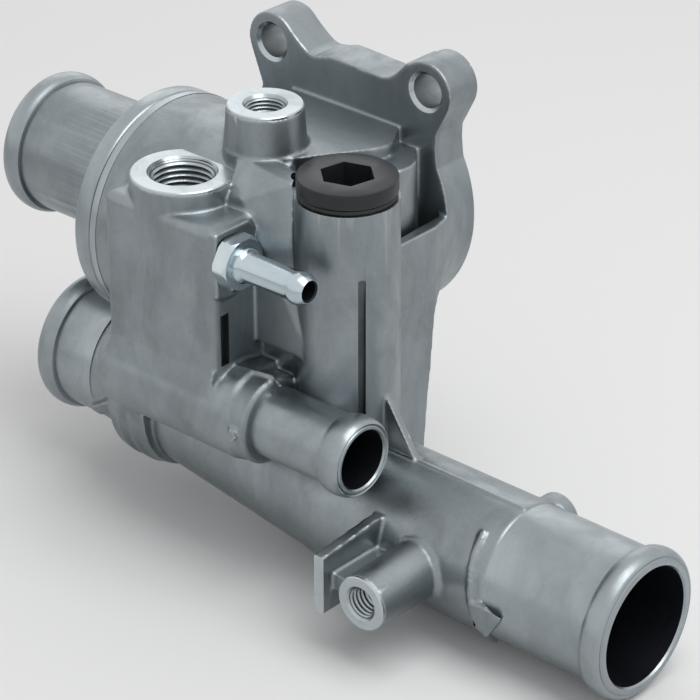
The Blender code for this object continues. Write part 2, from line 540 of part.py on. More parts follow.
def casting_cuts():
    pipe_axis = Vector((0, PIPE_Y, PIPE_Z))
    left_axis = Vector((0, PIPE_Y, PIPE_Z + STEP_RISE))
    chamber = Vector((0, CHAMBER_Y, CHAMBER_Z))
    cuts = []

    # Chamber bore with the counterbore of the thermostat, the bypass seat and the engine port
    length = CHAMBER_END_X - CHAMBER_MOUTH_X
    cuts.append(turned("bore", X_AXIS, chamber + X_AXIS * (CHAMBER_MOUTH_X - 0.001),
                       [(0, SEAT_BORE_R), (SEAT_DEPTH + 0.001, SEAT_BORE_R),
                        (SEAT_DEPTH + 0.001, CHAMBER_BORE_R), (length + 0.001, CHAMBER_BORE_R)]))
    cuts.append(turned("bypass", X_AXIS, chamber + X_AXIS * (CHAMBER_END_X - 0.001),
                       [(0, BYPASS_R), (CHANNEL_X - CHAMBER_END_X + 0.001, BYPASS_R)], 36))
    cuts.append(turned("port", Y_AXIS, Vector((0, CHAMBER_Y, PORT_Z)),
                       [(0, PORT_R), (-CHAMBER_Y + 0.001, PORT_R)]))
    cuts.append(ring("groove", Y_AXIS, Vector((0, 0, PORT_Z)),
                     [(-GROOVE_DEPTH, GROOVE_IN_R), (0.001, GROOVE_IN_R), (0.001, GROOVE_OUT_R),
                      (-GROOVE_DEPTH, GROOVE_OUT_R)]))

    # Bypass channel down the column into the return pipe, and the tower's own bore
    low = PIPE_Z + 0.004
    cuts.append(hull("channel", circle(Z_AXIS, Vector((CHANNEL_X, CHAMBER_Y + 0.001, low)), CHANNEL_R, 24)
                     + circle(Z_AXIS, Vector((CHANNEL_X, CHAMBER_Y + 0.001, CHAMBER_Z)), CHANNEL_R, 24)
                     + circle(Z_AXIS, Vector((TOWER_X, TOWER_Y, low)), CHANNEL_R, 24)
                     + circle(Z_AXIS, Vector((TOWER_X, TOWER_Y, CHAMBER_Z)), CHANNEL_R, 24)))
    cuts.append(turned("tower_bore", Z_AXIS, Vector((TOWER_X, TOWER_Y, low)),
                       [(0, TOWER_BORE_R), (TOWER_TOP_Z - low + 0.001, TOWER_BORE_R)]))
    cuts.append(turned("spot_face", Z_AXIS, Vector((TOWER_X, TOWER_Y, TOWER_TOP_Z)),
                       [(0, PLUG_HEAD_R + SPOT_FREE), (0.012, PLUG_HEAD_R + SPOT_FREE)]))

    # Return pipe bore, with its step
    cuts.append(loft("pipe_bore", [(SPIGOT_LEFT_END_X - 0.001, left_axis.z, PIPE_BORE_R - 0.0004),
                                   (STEP_LEFT_X, left_axis.z, PIPE_BORE_R - 0.0004),
                                   (STEP_RIGHT_X, PIPE_Z, PIPE_BORE_R), (PIPE_END_X + 0.001, PIPE_Z, PIPE_BORE_R)]))

    # Heater duct bore, and the sensor ports
    cuts.append(turned("heater_bore", X_AXIS, Vector((PORT1_X - PORT1_BORE_R, HEATER_Y, HEATER_Z)),
                       [(0, HEATER_BORE_R), (HEATER_END_X - PORT1_X + PORT1_BORE_R + 0.001, HEATER_BORE_R)]))
    cuts.append(hole("thread1", -Z_AXIS, Vector((PORT1_X, PORT1_Y, PORT1_TOP_Z)), PORT1_THREAD_R, PORT1_DEPTH,
                     PORT1_CHAMFER))
    cuts.append(turned("supply", Z_AXIS, Vector((PORT1_X, PORT1_Y, HEATER_Z)),
                       [(0, PORT1_BORE_R), (PORT1_TOP_Z - HEATER_Z - PORT1_DEPTH + 0.001, PORT1_BORE_R)], 32))
    cuts.append(hole("thread2", -Z_AXIS, Vector((PORT2_X, PORT2_Y, PORT2_TOP_Z)), PORT2_THREAD_R,
                     PORT2_TOP_Z - CHAMBER_Z - CHAMBER_BORE_R + 0.008, PORT2_CHAMFER, 0.0, 32))

    # Bolt holes, bracket thread and bleed hole
    for x, z in ((-EAR_X, EAR_Z), (EAR_X, EAR_Z), (LOW_EAR_X, LOW_EAR_Z)):
        cuts.append(turned(f"bolt{x}", -Y_AXIS, Vector((x, 0.001, z)),
                           [(0, BOLT_HOLE_R), (FLANGE_T + 0.001 - BOLT_CHAMFER, BOLT_HOLE_R),
                            (FLANGE_T + 0.002, BOLT_HOLE_R + BOLT_CHAMFER + 0.001)], 24))
    cuts.append(hole("bracket_thread", Y_AXIS, Vector((BRACKET_X, BRACKET_FACE_Y, BRACKET_Z)),
                     BRACKET_THREAD_R, BRACKET_DEPTH, BRACKET_CHAMFER, 0.0020, 28))
    face = Vector((BLOCK_RIGHT_X + NIPPLE_PAD_L, NIPPLE_Y, NIPPLE_Z))
    cuts.append(hole("bleed_hole", -X_AXIS, face, NIPPLE_THREAD_R + THREAD_GAP, NIPPLE_THREAD_L + 0.001, 0.0,
                     0.0, 24))
    cuts.append(turned("bleed_bore", -X_AXIS, face, [(0, NIPPLE_BORE_R), (face.x - PORT1_X, NIPPLE_BORE_R)], 20))
    return cuts


def housing(mat):
    forms = casting_forms()
    body = forms[0]
    body.name = body.data.name = "housing_casting"
    combine(body, forms[1:], "UNION")
    combine(body, casting_cuts(), "DIFFERENCE")
    return tidy(body, mat)


# Pieces that are fitted to the casting

def outlet_cover(mat):
    """The radiator spigot on its round foot, which plugs the chamber's mouth."""
    chamber = Vector((0, CHAMBER_Y, CHAMBER_Z))
    outlet = chamber + Z_AXIS * OUTLET_RISE
    face = CHAMBER_MOUTH_X - GAP
    body = turned("outlet_cover", X_AXIS, chamber + X_AXIS * (face - COVER_T),
                  [(0, CHAMBER_R - 0.0008), (0.0008, CHAMBER_R), (COVER_T, CHAMBER_R),
                   (COVER_T, SEAT_BORE_R - GAP), (COVER_T + GAP + COVER_SPIGOT_L, SEAT_BORE_R - GAP)])
    neck = hull("neck", circle(X_AXIS, chamber + X_AXIS * (face - COVER_T + 0.001), CHAMBER_R - 0.004)
                + circle(X_AXIS, outlet + X_AXIS * OUTLET_NECK_X, OUTLET_R + 0.0001))
    length = OUTLET_NECK_X + 0.001 - OUTLET_END_X
    tube = turned("tube", -X_AXIS, outlet + X_AXIS * (OUTLET_NECK_X + 0.001),
                  [(0, OUTLET_R)] + spigot_end(length, OUTLET_R, BEAD_H, BEAD_L, BEAD_INSET))
    combine(body, [neck, tube], "UNION")
    inner = SEAT_BORE_R - GAP - COVER_WALL
    mouth = turned("mouth", X_AXIS, chamber + X_AXIS * (face - COVER_T + 0.001),
                   [(0, inner), (COVER_T + COVER_SPIGOT_L + 0.002, inner)])
    funnel = hull("funnel", circle(X_AXIS, chamber + X_AXIS * (face - COVER_T + 0.0011), inner)
                  + circle(X_AXIS, outlet + X_AXIS * (OUTLET_NECK_X + 0.0005), OUTLET_BORE_R))
    bore = turned("bore", X_AXIS, outlet + X_AXIS * (OUTLET_END_X - 0.001),
                  [(0, OUTLET_BORE_R), (OUTLET_NECK_X - OUTLET_END_X + 0.0025, OUTLET_BORE_R)])
    relief = turned("relief", X_AXIS, Vector((face - COVER_T - 0.001, PIPE_Y, PIPE_Z + STEP_RISE)),
                    [(0, PIPE_R + COVER_RELIEF), (COVER_T + 0.001 + GAP, PIPE_R + COVER_RELIEF)])
    combine(body, [mouth, funnel, bore, relief], "DIFFERENCE")
    return tidy(body, mat)


def closing_plug(mat):
    seat = TOWER_TOP_Z + PLUG_SEAL_T + 2 * GAP
    shank = TOWER_BORE_R - THREAD_GAP
    base = Vector((TOWER_X, TOWER_Y, seat))
    body = turned("closing_plug", Z_AXIS, base,
                  [(-PLUG_SHANK_L, shank - 0.001), (0.001 - PLUG_SHANK_L, shank), (0, shank),
                   (0, PLUG_HEAD_R - 0.0003), (0.0004, PLUG_HEAD_R), (PLUG_HEAD_H - 0.0006, PLUG_HEAD_R),
                   (PLUG_HEAD_H, PLUG_HEAD_R - 0.0006)])
    corner = PLUG_SOCKET_AF / 2 / math.cos(math.pi / 6)
    facing = math.radians(18.3)
    top = PLUG_HEAD_H
    bm = bmesh.new()
    ends = [[bm.verts.new(base + Vector((corner * math.cos(facing + k * math.pi / 3),
                                         corner * math.sin(facing + k * math.pi / 3), height)))
             for k in range(6)] for height in (top - PLUG_SOCKET_DEPTH, top + 0.001)]
    bm.faces.new(ends[0])
    bm.faces.new(ends[1])
    for k in range(6):
        bm.faces.new((ends[0][k], ends[0][(k + 1) % 6], ends[1][(k + 1) % 6], ends[1][k]))
    combine(body, [finish(bm, "socket")], "DIFFERENCE")
    return tidy(body, mat)


def plug_seal(mat):
    low, high = GAP, GAP + PLUG_SEAL_T
    inner, outer = TOWER_BORE_R + 0.0002, PLUG_HEAD_R - 0.0006
    return tidy(ring("plug_seal", Z_AXIS, Vector((TOWER_X, TOWER_Y, TOWER_TOP_Z)),
                     [(low, inner), (high, inner), (high, outer), (low, outer)]), mat)


def bleed_nipple(mat):
    """Threaded shank, hexagon foot and hose tube, bored through."""
    foot = BLOCK_RIGHT_X + NIPPLE_PAD_L + GAP
    base = Vector((foot, NIPPLE_Y, NIPPLE_Z))
    length = NIPPLE_TIP_X - foot
    tip = length
    body = turned("bleed_nipple", X_AXIS, base,
                  [(-NIPPLE_THREAD_L, NIPPLE_THREAD_R - 0.0006), (0.0006 - NIPPLE_THREAD_L, NIPPLE_THREAD_R),
                   (0.001, NIPPLE_THREAD_R), (0.001, NIPPLE_R + 0.0008), (NIPPLE_HEX_L + 0.0012, NIPPLE_R + 0.0008),
                   (NIPPLE_HEX_L + 0.0022, NIPPLE_R), (tip - 0.0045, NIPPLE_R),
                   (tip - 0.0038, NIPPLE_R + NIPPLE_BEAD_H), (tip - 0.0022, NIPPLE_R + NIPPLE_BEAD_H),
                   (tip, NIPPLE_R - 0.0007)], 24)
    corner = NIPPLE_AF / 2 / math.cos(math.pi / 6)
    hexagon = [Vector((0, corner * math.sin(k * math.pi / 3), corner * math.cos(k * math.pi / 3)))
               for k in range(6)]
    nut = prism("nut", [base + p for p in hexagon], X_AXIS * NIPPLE_HEX_L)
    combine(body, [nut], "UNION")
    bore = turned("bore", X_AXIS, base, [(-NIPPLE_THREAD_L - 0.001, NIPPLE_BORE_R),
                                         (tip + 0.001, NIPPLE_BORE_R)], 20)
    combine(body, [bore], "DIFFERENCE")
    return tidy(body, mat)


def flange_gasket(mat):
    inner, outer = GROOVE_IN_R + GAP, GROOVE_OUT_R - GAP
    deep = -GROOVE_DEPTH + GAP
    return tidy(ring("flange_gasket", Y_AXIS, Vector((0, 0, PORT_Z)),
                     [(deep, inner), (-0.0001, inner), (-0.0001, outer), (deep, outer)]), mat)


# Thermostat insert, in the order in which it is stacked from the seat outwards

SEAT_X = CHAMBER_MOUTH_X + SEAT_DEPTH
FRAME_X = SEAT_X - GAP                      # chamber side of the frame
DISC_X = CHAMBER_END_X - VALVE_LIFT - BYPASS_FREE    # bypass disc, face towards its seat
THERMOSTAT = Vector((0, CHAMBER_Y, CHAMBER_Z))


def thermostat_frame(mat):
    """The stamped flange with the valve seat, the bridge that holds the pin and the two hooks of the support."""
    outer = SEAT_BORE_R - GAP
    body = ring("thermostat_frame", X_AXIS, THERMOSTAT + X_AXIS * FRAME_X,
                [(-FRAME_T, VALVE_BORE_R), (0, VALVE_BORE_R), (0, outer), (-FRAME_T, outer)])
    root = VALVE_BORE_R + 0.0012
    top = BRIDGE_TOP_X - FRAME_X
    half = PIN_R + 0.0025
    path = [(-root - BRIDGE_T, -FRAME_T / 2), (-half - BRIDGE_T / 2, top), (half + BRIDGE_T / 2, top),
            (root + BRIDGE_T, -FRAME_T / 2), (root, -FRAME_T / 2), (half, top + BRIDGE_T * 1.4),
            (-half, top + BRIDGE_T * 1.4), (-root, -FRAME_T / 2)]
    strap = prism("strap", [THERMOSTAT + Vector((FRAME_X + x, -BRIDGE_W / 2, z)) for z, x in path],
                  Y_AXIS * BRIDGE_W)
    combine(body, [strap], "UNION")
    return tidy(body, mat)


def support_frame(mat):
    """The lower frame: a plate under the main spring, held to the thermostat frame by two legs."""
    reach = FRAME_X + GAP
    far = SUPPORT_X
    hub = CAPSULE_R + 0.0004
    plate = turned("support_frame", X_AXIS, THERMOSTAT + X_AXIS * far,
                   [(0, SPRING_R + 0.0030), (FRAME_T, SPRING_R + 0.0030)])
    bar = prism("bar", [THERMOSTAT + Vector((far, y, z)) for y, z in
                        ((-LEG_W / 2, -LEG_R - BRIDGE_T), (LEG_W / 2, -LEG_R - BRIDGE_T),
                         (LEG_W / 2, LEG_R + BRIDGE_T), (-LEG_W / 2, LEG_R + BRIDGE_T))], X_AXIS * FRAME_T)
    legs = []
    for side in (-1, 1):
        z0, z1 = sorted((side * LEG_R, side * (LEG_R + BRIDGE_T)))
        legs.append(prism(f"leg{side}", [THERMOSTAT + Vector((reach, y, z)) for y, z in
                                         ((-LEG_W / 2, z0), (LEG_W / 2, z0), (LEG_W / 2, z1), (-LEG_W / 2, z1))],
                          X_AXIS * (far + FRAME_T / 2 - reach)))
    combine(plate, [bar] + legs, "UNION")
    cut = turned("cut", X_AXIS, THERMOSTAT + X_AXIS * (far - 0.001), [(0, hub), (FRAME_T + 0.002, hub)], 36)
    combine(plate, [cut], "DIFFERENCE")
    return tidy(plate, mat)


def wax_capsule(mat):
    """The wax capsule with its rubber-seated valve disc and the stem of the bypass disc, one moving piece."""
    disc = FRAME_X + GAP
    nose = disc - 0.0040
    stem_end = DISC_X + 0.0016
    body = turned("wax_capsule", X_AXIS, THERMOSTAT,
                  [(nose, PIN_R + 0.0012), (nose + 0.0008, PIN_R + 0.0020), (disc, PIN_R + 0.0022),
                   (disc, VALVE_R - 0.0010), (disc + 0.0006, VALVE_R), (disc + VALVE_T, VALVE_R),
                   (disc + VALVE_T, CAPSULE_R + 0.0008), (disc + VALVE_T + 0.004, CAPSULE_R + 0.0008),
                   (disc + VALVE_T + 0.0045, CAPSULE_R), (CAPSULE_END_X - 0.001, CAPSULE_R),
                   (CAPSULE_END_X, CAPSULE_R - 0.001), (CAPSULE_END_X, BYPASS_STEM_R),
                   (stem_end - 0.0012, BYPASS_STEM_R), (stem_end - 0.0012, BYPASS_STEM_R + 0.0009),
                   (stem_end, BYPASS_STEM_R + 0.0005)], 28)
    pocket = turned("pocket", X_AXIS, THERMOSTAT, [(nose - 0.001, PIN_R + GAP), (disc + 0.0120, PIN_R + GAP)], 16)
    combine(body, [pocket], "DIFFERENCE")
    return tidy(body, mat)


def piston_pin(mat):
    tip = FRAME_X + GAP + 0.0110 - VALVE_LIFT + 0.0070
    start = BRIDGE_TOP_X + BRIDGE_T * 1.4 + GAP
    return tidy(turned("piston_pin", X_AXIS, THERMOSTAT,
                       [(start, PIN_R), (tip - 0.0006, PIN_R), (tip, PIN_R - 0.0006)], 16), mat)


def coil(name, start, end, radius, wire, turns, mat, steps=12, sides=5):
    """A coil spring about the thermostat's axis, closed flat at both ends."""
    bm = bmesh.new()
    count = int(turns * steps)
    span = end - start - 2 * wire
    rings = []
    for k in range(count + 1):
        t = k / count
        a = 2 * math.pi * turns * t
        out = Vector((0, math.cos(a), math.sin(a)))
        middle = THERMOSTAT + X_AXIS * (start + wire + span * t) + out * radius
        rings.append([bm.verts.new(middle + wire * (math.cos(b) * out + math.sin(b) * X_AXIS))
                      for b in (2 * math.pi * j / sides for j in range(sides))])
    for low, high in zip(rings, rings[1:]):
        for j in range(sides):
            n = (j + 1) % sides
            bm.faces.new((low[j], low[n], high[n], high[j]))
    bm.faces.new(rings[0])
    bm.faces.new(rings[-1])
    return tidy(finish(bm, name), mat, 50)


def bypass_disc(mat):
    face = DISC_X
    bore = BYPASS_STEM_R + GAP
    return tidy(ring("bypass_disc", X_AXIS, THERMOSTAT,
                     [(face - 0.0012, bore), (face, bore), (face, BYPASS_DISC_R), (face - 0.0012, BYPASS_DISC_R)],
                     36), mat)


def cover_gasket(mat):
    far = FRAME_X - FRAME_T - GAP
    outer = SEAT_BORE_R - GAP
    inner = outer - COVER_WALL
    near = CHAMBER_MOUTH_X + COVER_SPIGOT_L + GAP
    return tidy(ring("cover_gasket", X_AXIS, THERMOSTAT,
                     [(near, inner), (far, inner), (far, outer), (near, outer)]), mat)


def main():
    for obj in list(bpy.data.objects):
        bpy.data.objects.remove(obj)
    cast = material("die_cast_aluminium", (0.52, 0.55, 0.57), 0.42, 1.0)
    cover = material("cast_aluminium_cover", (0.56, 0.59, 0.61), 0.36, 1.0)
    black = material("black_plastic", (0.012, 0.012, 0.014), 0.45, 0.0)
    rubber = material("black_rubber", (0.010, 0.010, 0.010), 0.75, 0.0)
    zinc = material("zinc_plated_steel", (0.72, 0.78, 0.82), 0.22, 1.0)
    steel = material("stainless_steel", (0.60, 0.60, 0.58), 0.30, 1.0)
    brass = material("brass", (0.70, 0.52, 0.24), 0.30, 1.0)
    spring = material("spring_steel", (0.42, 0.42, 0.43), 0.35, 1.0)

    housing(cast)
    outlet_cover(cover)
    closing_plug(black)
    plug_seal(rubber)
    bleed_nipple(zinc)
    flange_gasket(rubber)
    cover_gasket(rubber)
    thermostat_frame(steel)
    support_frame(steel)
    wax_capsule(brass)
    piston_pin(steel)
    bypass_disc(steel)
    coil("main_spring", FRAME_X + VALVE_T + 2 * GAP, SUPPORT_X - GAP, SPRING_R, SPRING_WIRE_R, SPRING_TURNS,
         spring)
    coil("bypass_spring", CAPSULE_END_X + GAP, DISC_X - 0.0012 - GAP, BYPASS_SPRING_R, BYPASS_WIRE_R,
         BYPASS_TURNS, spring, 14)


main()
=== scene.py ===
"""Thermostat housing of a car engine: the looks of the die-cast body, its cover, plug, nipple and thermostat.

Lengths in the shaping code are in millimetres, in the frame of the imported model.
"""

import math

import bpy
from mathutils import Matrix, Vector


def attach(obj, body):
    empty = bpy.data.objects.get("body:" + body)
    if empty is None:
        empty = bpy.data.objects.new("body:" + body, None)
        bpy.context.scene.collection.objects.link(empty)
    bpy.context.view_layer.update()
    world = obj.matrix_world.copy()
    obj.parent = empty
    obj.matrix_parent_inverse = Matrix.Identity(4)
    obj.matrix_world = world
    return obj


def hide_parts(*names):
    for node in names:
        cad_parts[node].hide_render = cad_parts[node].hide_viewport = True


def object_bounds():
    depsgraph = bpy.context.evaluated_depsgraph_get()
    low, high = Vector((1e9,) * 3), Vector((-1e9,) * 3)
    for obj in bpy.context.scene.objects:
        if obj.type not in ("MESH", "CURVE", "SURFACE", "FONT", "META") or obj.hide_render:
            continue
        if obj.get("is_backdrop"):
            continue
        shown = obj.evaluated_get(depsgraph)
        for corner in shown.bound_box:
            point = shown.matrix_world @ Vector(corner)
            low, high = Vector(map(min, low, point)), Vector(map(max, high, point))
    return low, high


bl_info = {
    "name": "Thermostat Housing",
    "version": (1, 0, 0),
    "blender": (4, 5, 0),
    "location": "View3D > Sidebar > Housing",
    "description": "Builds a die-cast thermostat housing round its packed model",
    "category": "Object",
}

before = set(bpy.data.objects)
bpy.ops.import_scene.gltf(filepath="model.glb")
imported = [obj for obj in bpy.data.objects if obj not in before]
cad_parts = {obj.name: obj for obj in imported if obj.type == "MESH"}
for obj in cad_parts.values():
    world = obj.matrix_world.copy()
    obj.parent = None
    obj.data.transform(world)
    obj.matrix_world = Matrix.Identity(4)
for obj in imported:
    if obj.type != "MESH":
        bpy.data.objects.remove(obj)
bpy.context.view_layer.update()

MM = 0.001
TURN = {"X": (0.0, math.pi / 2, 0.0), "Y": (-math.pi / 2, 0.0, 0.0), "Z": (0.0, 0.0, 0.0)}
WAY = {"X": Vector((1, 0, 0)), "Y": Vector((0, 1, 0)), "Z": Vector((0, 0, 1))}

# Axes of the round parts, (x, y, z) on each, in millimetres
CHAMBER = (0.0, -34.1, -33.3)
OUTLET = (0.0, -34.1, -28.6)
PIPE = (0.0, -43.5, -87.0)
PIPE_LEFT = (0.0, -43.5, -76.5)
HEATER = (0.0, -61.5, -62.4)
TOWER = (29.8, -43.5, 0.0)
PORT_LARGE = (-10.8, -57.5, 0.0)
PORT_SMALL = (-0.8, -38.9, 0.0)
BRACKET = (66.3, -43.5, -87.0)
NIPPLE = (0.0, -64.8, -21.1)
ENGINE_PORT = (0.0, 0.0, -26.5)
EARS = ((-25.3, 7.2), (25.3, 8.0), (-4.0, -68.0))
KEY_TURN = -11.7        # the plug's hexagon, in degrees


class CastingSizes(bpy.types.PropertyGroup):
    grain: bpy.props.FloatProperty(
        name="Grain", description="Size of the facets that the casting's skin is drawn with",
        default=0.00044, min=0.0003, max=0.002, unit="LENGTH")
    fillet_passes: bpy.props.IntProperty(
        name="Fillet passes", description="How far the casting's edges and corners are rounded",
        default=3, min=0, max=40)
    facets: bpy.props.IntProperty(
        name="Facets", description="Triangles kept on the casting's skin",
        default=165000, min=20000, max=190000)
    sides: bpy.props.IntProperty(
        name="Sides", description="Facets round a turned piece", default=96, min=24, max=160)


class MetalColours(bpy.types.PropertyGroup):
    cast: bpy.props.FloatVectorProperty(
        name="Cast metal", description="Colour of the as-cast skin", subtype="COLOR", size=3,
        default=(0.30, 0.335, 0.352), min=0.0, max=1.0)
    cast_dark: bpy.props.FloatVectorProperty(
        name="Cast metal, stained", description="Colour of the darker patches of the skin",
        subtype="COLOR", size=3,
        default=(0.175, 0.197, 0.207), min=0.0, max=1.0)
    # Painted shade: this near-black colour stands in for the shade inside the pipes, bores and holes; it is
    # not the metal's own colour.
    bore: bpy.props.FloatVectorProperty(
        name="Inside", description="Colour of the unfinished metal inside the pipes", subtype="COLOR", size=3,
        default=(0.030, 0.034, 0.042), min=0.0, max=1.0)
    zinc: bpy.props.FloatVectorProperty(
        name="Zinc", description="Colour of the plated nipple", subtype="COLOR", size=3,
        default=(0.52, 0.60, 0.64), min=0.0, max=1.0)
    plug: bpy.props.FloatVectorProperty(
        name="Plug", description="Colour of the black plug", subtype="COLOR", size=3,
        default=(0.011, 0.013, 0.015), min=0.0, max=1.0)


class StageSettings(bpy.types.PropertyGroup):
    floor_colour: bpy.props.FloatVectorProperty(
        name="Floor", description="Colour of the floor", subtype="COLOR", size=3,
        default=(0.86, 0.86, 0.86), min=0.0, max=1.0)
    key: bpy.props.FloatProperty(
        name="Key", description="Power of the large lamp overhead, in watts", default=3.5, min=0.0)
    back: bpy.props.FloatProperty(
        name="Back", description="Power of the lamp behind, in watts", default=0.6, min=0.0)
    world: bpy.props.FloatProperty(
        name="Surroundings", description="Strength of the white surroundings as a lamp",
        default=0.55, min=0.0)


# Shaping tools

def deselect():
    bpy.ops.object.select_all(action="DESELECT")


def pick(obj, *others):
    """Selects the objects and makes the first one active."""
    deselect()
    for each in (obj, *others):
        each.select_set(True)
    bpy.context.view_layer.objects.active = obj


def point(place):
    return Vector(place) * MM


def settle(obj, name):
    """Names the object, points its faces outwards and writes its place into its mesh."""
    obj.name = obj.data.name = name
    pick(obj)
    bpy.ops.object.transform_apply(location=True, rotation=True, scale=True)
    bpy.ops.object.mode_set(mode="EDIT")
    bpy.ops.mesh.select_all(action="SELECT")
    bpy.ops.mesh.normals_make_consistent(inside=False)
    bpy.ops.object.mode_set(mode="OBJECT")
    return obj


def turned(name, axis, place, outline, sides=None):
    """Turns an outline of (distance along the axis, radius) about the axis.

    An outline that ends where it starts makes a ring.
    """
    sides = sides or bpy.context.scene.casting_sizes.sides
    ring = outline[0] == outline[-1]
    way, place = WAY[axis], point(place)
    deselect()
    bpy.ops.mesh.primitive_circle_add(
        vertices=sides, radius=outline[0][1] * MM, fill_type="NOTHING" if ring else "NGON",
        location=place + way * outline[0][0] * MM, rotation=TURN[axis])
    obj = bpy.context.object
    bpy.ops.object.mode_set(mode="EDIT")
    bpy.ops.mesh.select_all(action="SELECT")
    for (a, r), (b, s) in zip(outline, outline[1:]):
        bpy.ops.mesh.extrude_region_move(TRANSFORM_OT_translate={"value": way * (b - a) * MM})
        if abs(s - r) > 1e-6:
            bpy.ops.transform.resize(value=(s / r,) * 3, center_override=place + way * b * MM)
    if ring:
        bpy.ops.mesh.select_all(action="SELECT")
        bpy.ops.mesh.remove_doubles(threshold=1e-6)
    bpy.ops.object.mode_set(mode="OBJECT")
    return settle(obj, name)


def stretched(name, circles=(), spots=()):
    """A solid stretched tight over circles (axis, place, radius) and small spots."""
    deselect()
    bpy.ops.mesh.primitive_cube_add(size=0.00001, location=point(circles[0][1] if circles else spots[0]))
    obj = bpy.context.object
    bpy.ops.object.mode_set(mode="EDIT")
    for axis, place, radius in circles:
        bpy.ops.mesh.primitive_circle_add(vertices=64, radius=radius * MM, fill_type="NOTHING",
                                          location=point(place), rotation=TURN[axis])
    for place in spots:
        bpy.ops.mesh.primitive_cube_add(size=0.00001, location=point(place))
    bpy.ops.mesh.select_all(action="SELECT")
    bpy.ops.mesh.convex_hull()
    bpy.ops.mesh.select_all(action="SELECT")
    bpy.ops.mesh.remove_doubles(threshold=0.00003)
    bpy.ops.object.mode_set(mode="OBJECT")
    return settle(obj, name)


def block(name, x, y, z, round_upright=0.0):
    """A block between (low, high) along X, Y and Z, with its upright edges rounded."""
    low, high = (Vector(ends) * MM for ends in zip(x, y, z))
    deselect()
    bpy.ops.mesh.primitive_cube_add(size=1.0, location=(low + high) / 2, scale=high - low)
    obj = bpy.context.object
    if round_upright:
        bpy.ops.object.transform_apply(location=True, rotation=True, scale=True)
        bpy.ops.object.mode_set(mode="EDIT")
        bpy.ops.mesh.select_all(action="DESELECT")
        bpy.ops.object.mode_set(mode="OBJECT")
        verts = obj.data.vertices
        for edge in obj.data.edges:
            a, b = (verts[k].co for k in edge.vertices)
            edge.select = abs(a.z - b.z) > 1e-6
        bpy.ops.object.mode_set(mode="EDIT")
        bpy.ops.mesh.select_mode(type="EDGE")
        bpy.ops.mesh.bevel(offset=round_upright * MM, segments=6)
        bpy.ops.mesh.select_mode(type="VERT")
        bpy.ops.object.mode_set(mode="OBJECT")
    return settle(obj, name)


def plate(name, axis, outline, start, end):
    """A plate of the outline, square to the axis, from start to end along it."""
    across = {"X": lambda u, v: (start, u, v),
              "Y": lambda u, v: (u, start, v),
              "Z": lambda u, v: (u, v, start)}
    deselect()
    bpy.ops.mesh.primitive_circle_add(vertices=len(outline), radius=1.0, fill_type="NGON")
    obj = bpy.context.object
    for vertex, (u, v) in zip(obj.data.vertices, outline):
        vertex.co = point(across[axis](u, v))
    bpy.ops.object.mode_set(mode="EDIT")
    bpy.ops.mesh.select_all(action="SELECT")
    bpy.ops.mesh.extrude_region_move(TRANSFORM_OT_translate={"value": WAY[axis] * (end - start) * MM})
    bpy.ops.object.mode_set(mode="OBJECT")
    return settle(obj, name)


def strand(name, spots, radius):
    """A thin ridge that runs through the spots."""
    pieces = []
    for start, end in zip(spots, spots[1:]):
        ends = [Vector(spot) + Vector(step) * radius for spot in (start, end)
                for step in ((1, 0, 0), (-1, 0, 0), (0, 1, 0), (0, -1, 0), (0, 0, 1), (0, 0, -1),
                             (0, 0.7, 0.7), (0, -0.7, 0.7))]
        pieces.append(stretched(name, spots=ends))
    return pieces


def tilted(obj, axis, degrees, place):
    """Turns a shape about an axis through a place."""
    there = Matrix.Translation(point(place))
    obj.data.transform(there @ Matrix.Rotation(math.radians(degrees), 4, axis) @ there.inverted())
    return obj


def arc(centre, radius, start, end, steps):
    """Points on an arc, with its angles in degrees."""
    return [(centre[0] + radius * math.cos(math.radians(start + (end - start) * k / steps)),
             centre[1] + radius * math.sin(math.radians(start + (end - start) * k / steps)))
            for k in range(steps + 1)]


def finish_with(obj, kind, **settings):
    """Adds a modifier with its settings and applies it."""
    pick(obj)
    bpy.ops.object.modifier_add(type=kind)
    step = obj.modifiers[-1]
    for key, value in settings.items():
        setattr(step, key, value)
    bpy.ops.object.modifier_apply(modifier=step.name)
    return obj


def joined(name, parts):
    pick(*parts)
    bpy.ops.object.join()
    parts[0].name = parts[0].data.name = name
    return parts[0]


def combine(obj, others, operation):
    for other in others:
        finish_with(obj, "BOOLEAN", object=other, operation=operation, solver="EXACT",
                    material_mode="TRANSFER")
        bpy.data.objects.remove(other)
    return obj


def made_of(mat, *pieces):
    """Gives raw shapes their material before they are combined."""
    for piece in pieces:
        piece.data.materials.append(mat)
    return pieces


def paint(obj, mat, rule):
    """Gives a second material to the faces that the rule picks."""
    obj.data.materials.append(mat)
    last = len(obj.data.materials) - 1
    for face in obj.data.polygons:
        if rule(face):
            face.material_index = last
    return obj


def dress(obj, mat, body="housing", replaces=(), angle=32.0):
    """Gives a finished piece its smoothing, material and body, and hides the solids that it stands for."""
    pick(obj)
    bpy.ops.object.shade_smooth_by_angle(angle=math.radians(angle))
    if mat:
        obj.data.materials.clear()
        obj.data.materials.append(mat)
    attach(obj, body)
    if replaces:
        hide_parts(*replaces)
    return obj


def bead_end(length, tube, height, width, inset, lip=0.8):
    """Outline of a hose spigot's end: a bead, stepped behind and rounded in front, and a turned-in mouth."""
    mid = length - inset
    outline = [(mid - width / 2 - 0.15, tube), (mid - width / 2, tube + 0.30 * height),
               (mid - width / 2 + 0.15, tube + 0.48 * height)]
    for k in range(11):
        a = math.pi * (0.18 + 0.76 * k / 10)
        outline.append((mid - width / 2 * math.cos(a), tube + height * math.sin(a)))
    return outline + [(length - 0.5, tube - 0.15), (length - 0.15, tube - lip * 0.6), (length, tube - lip)]


# Finishes

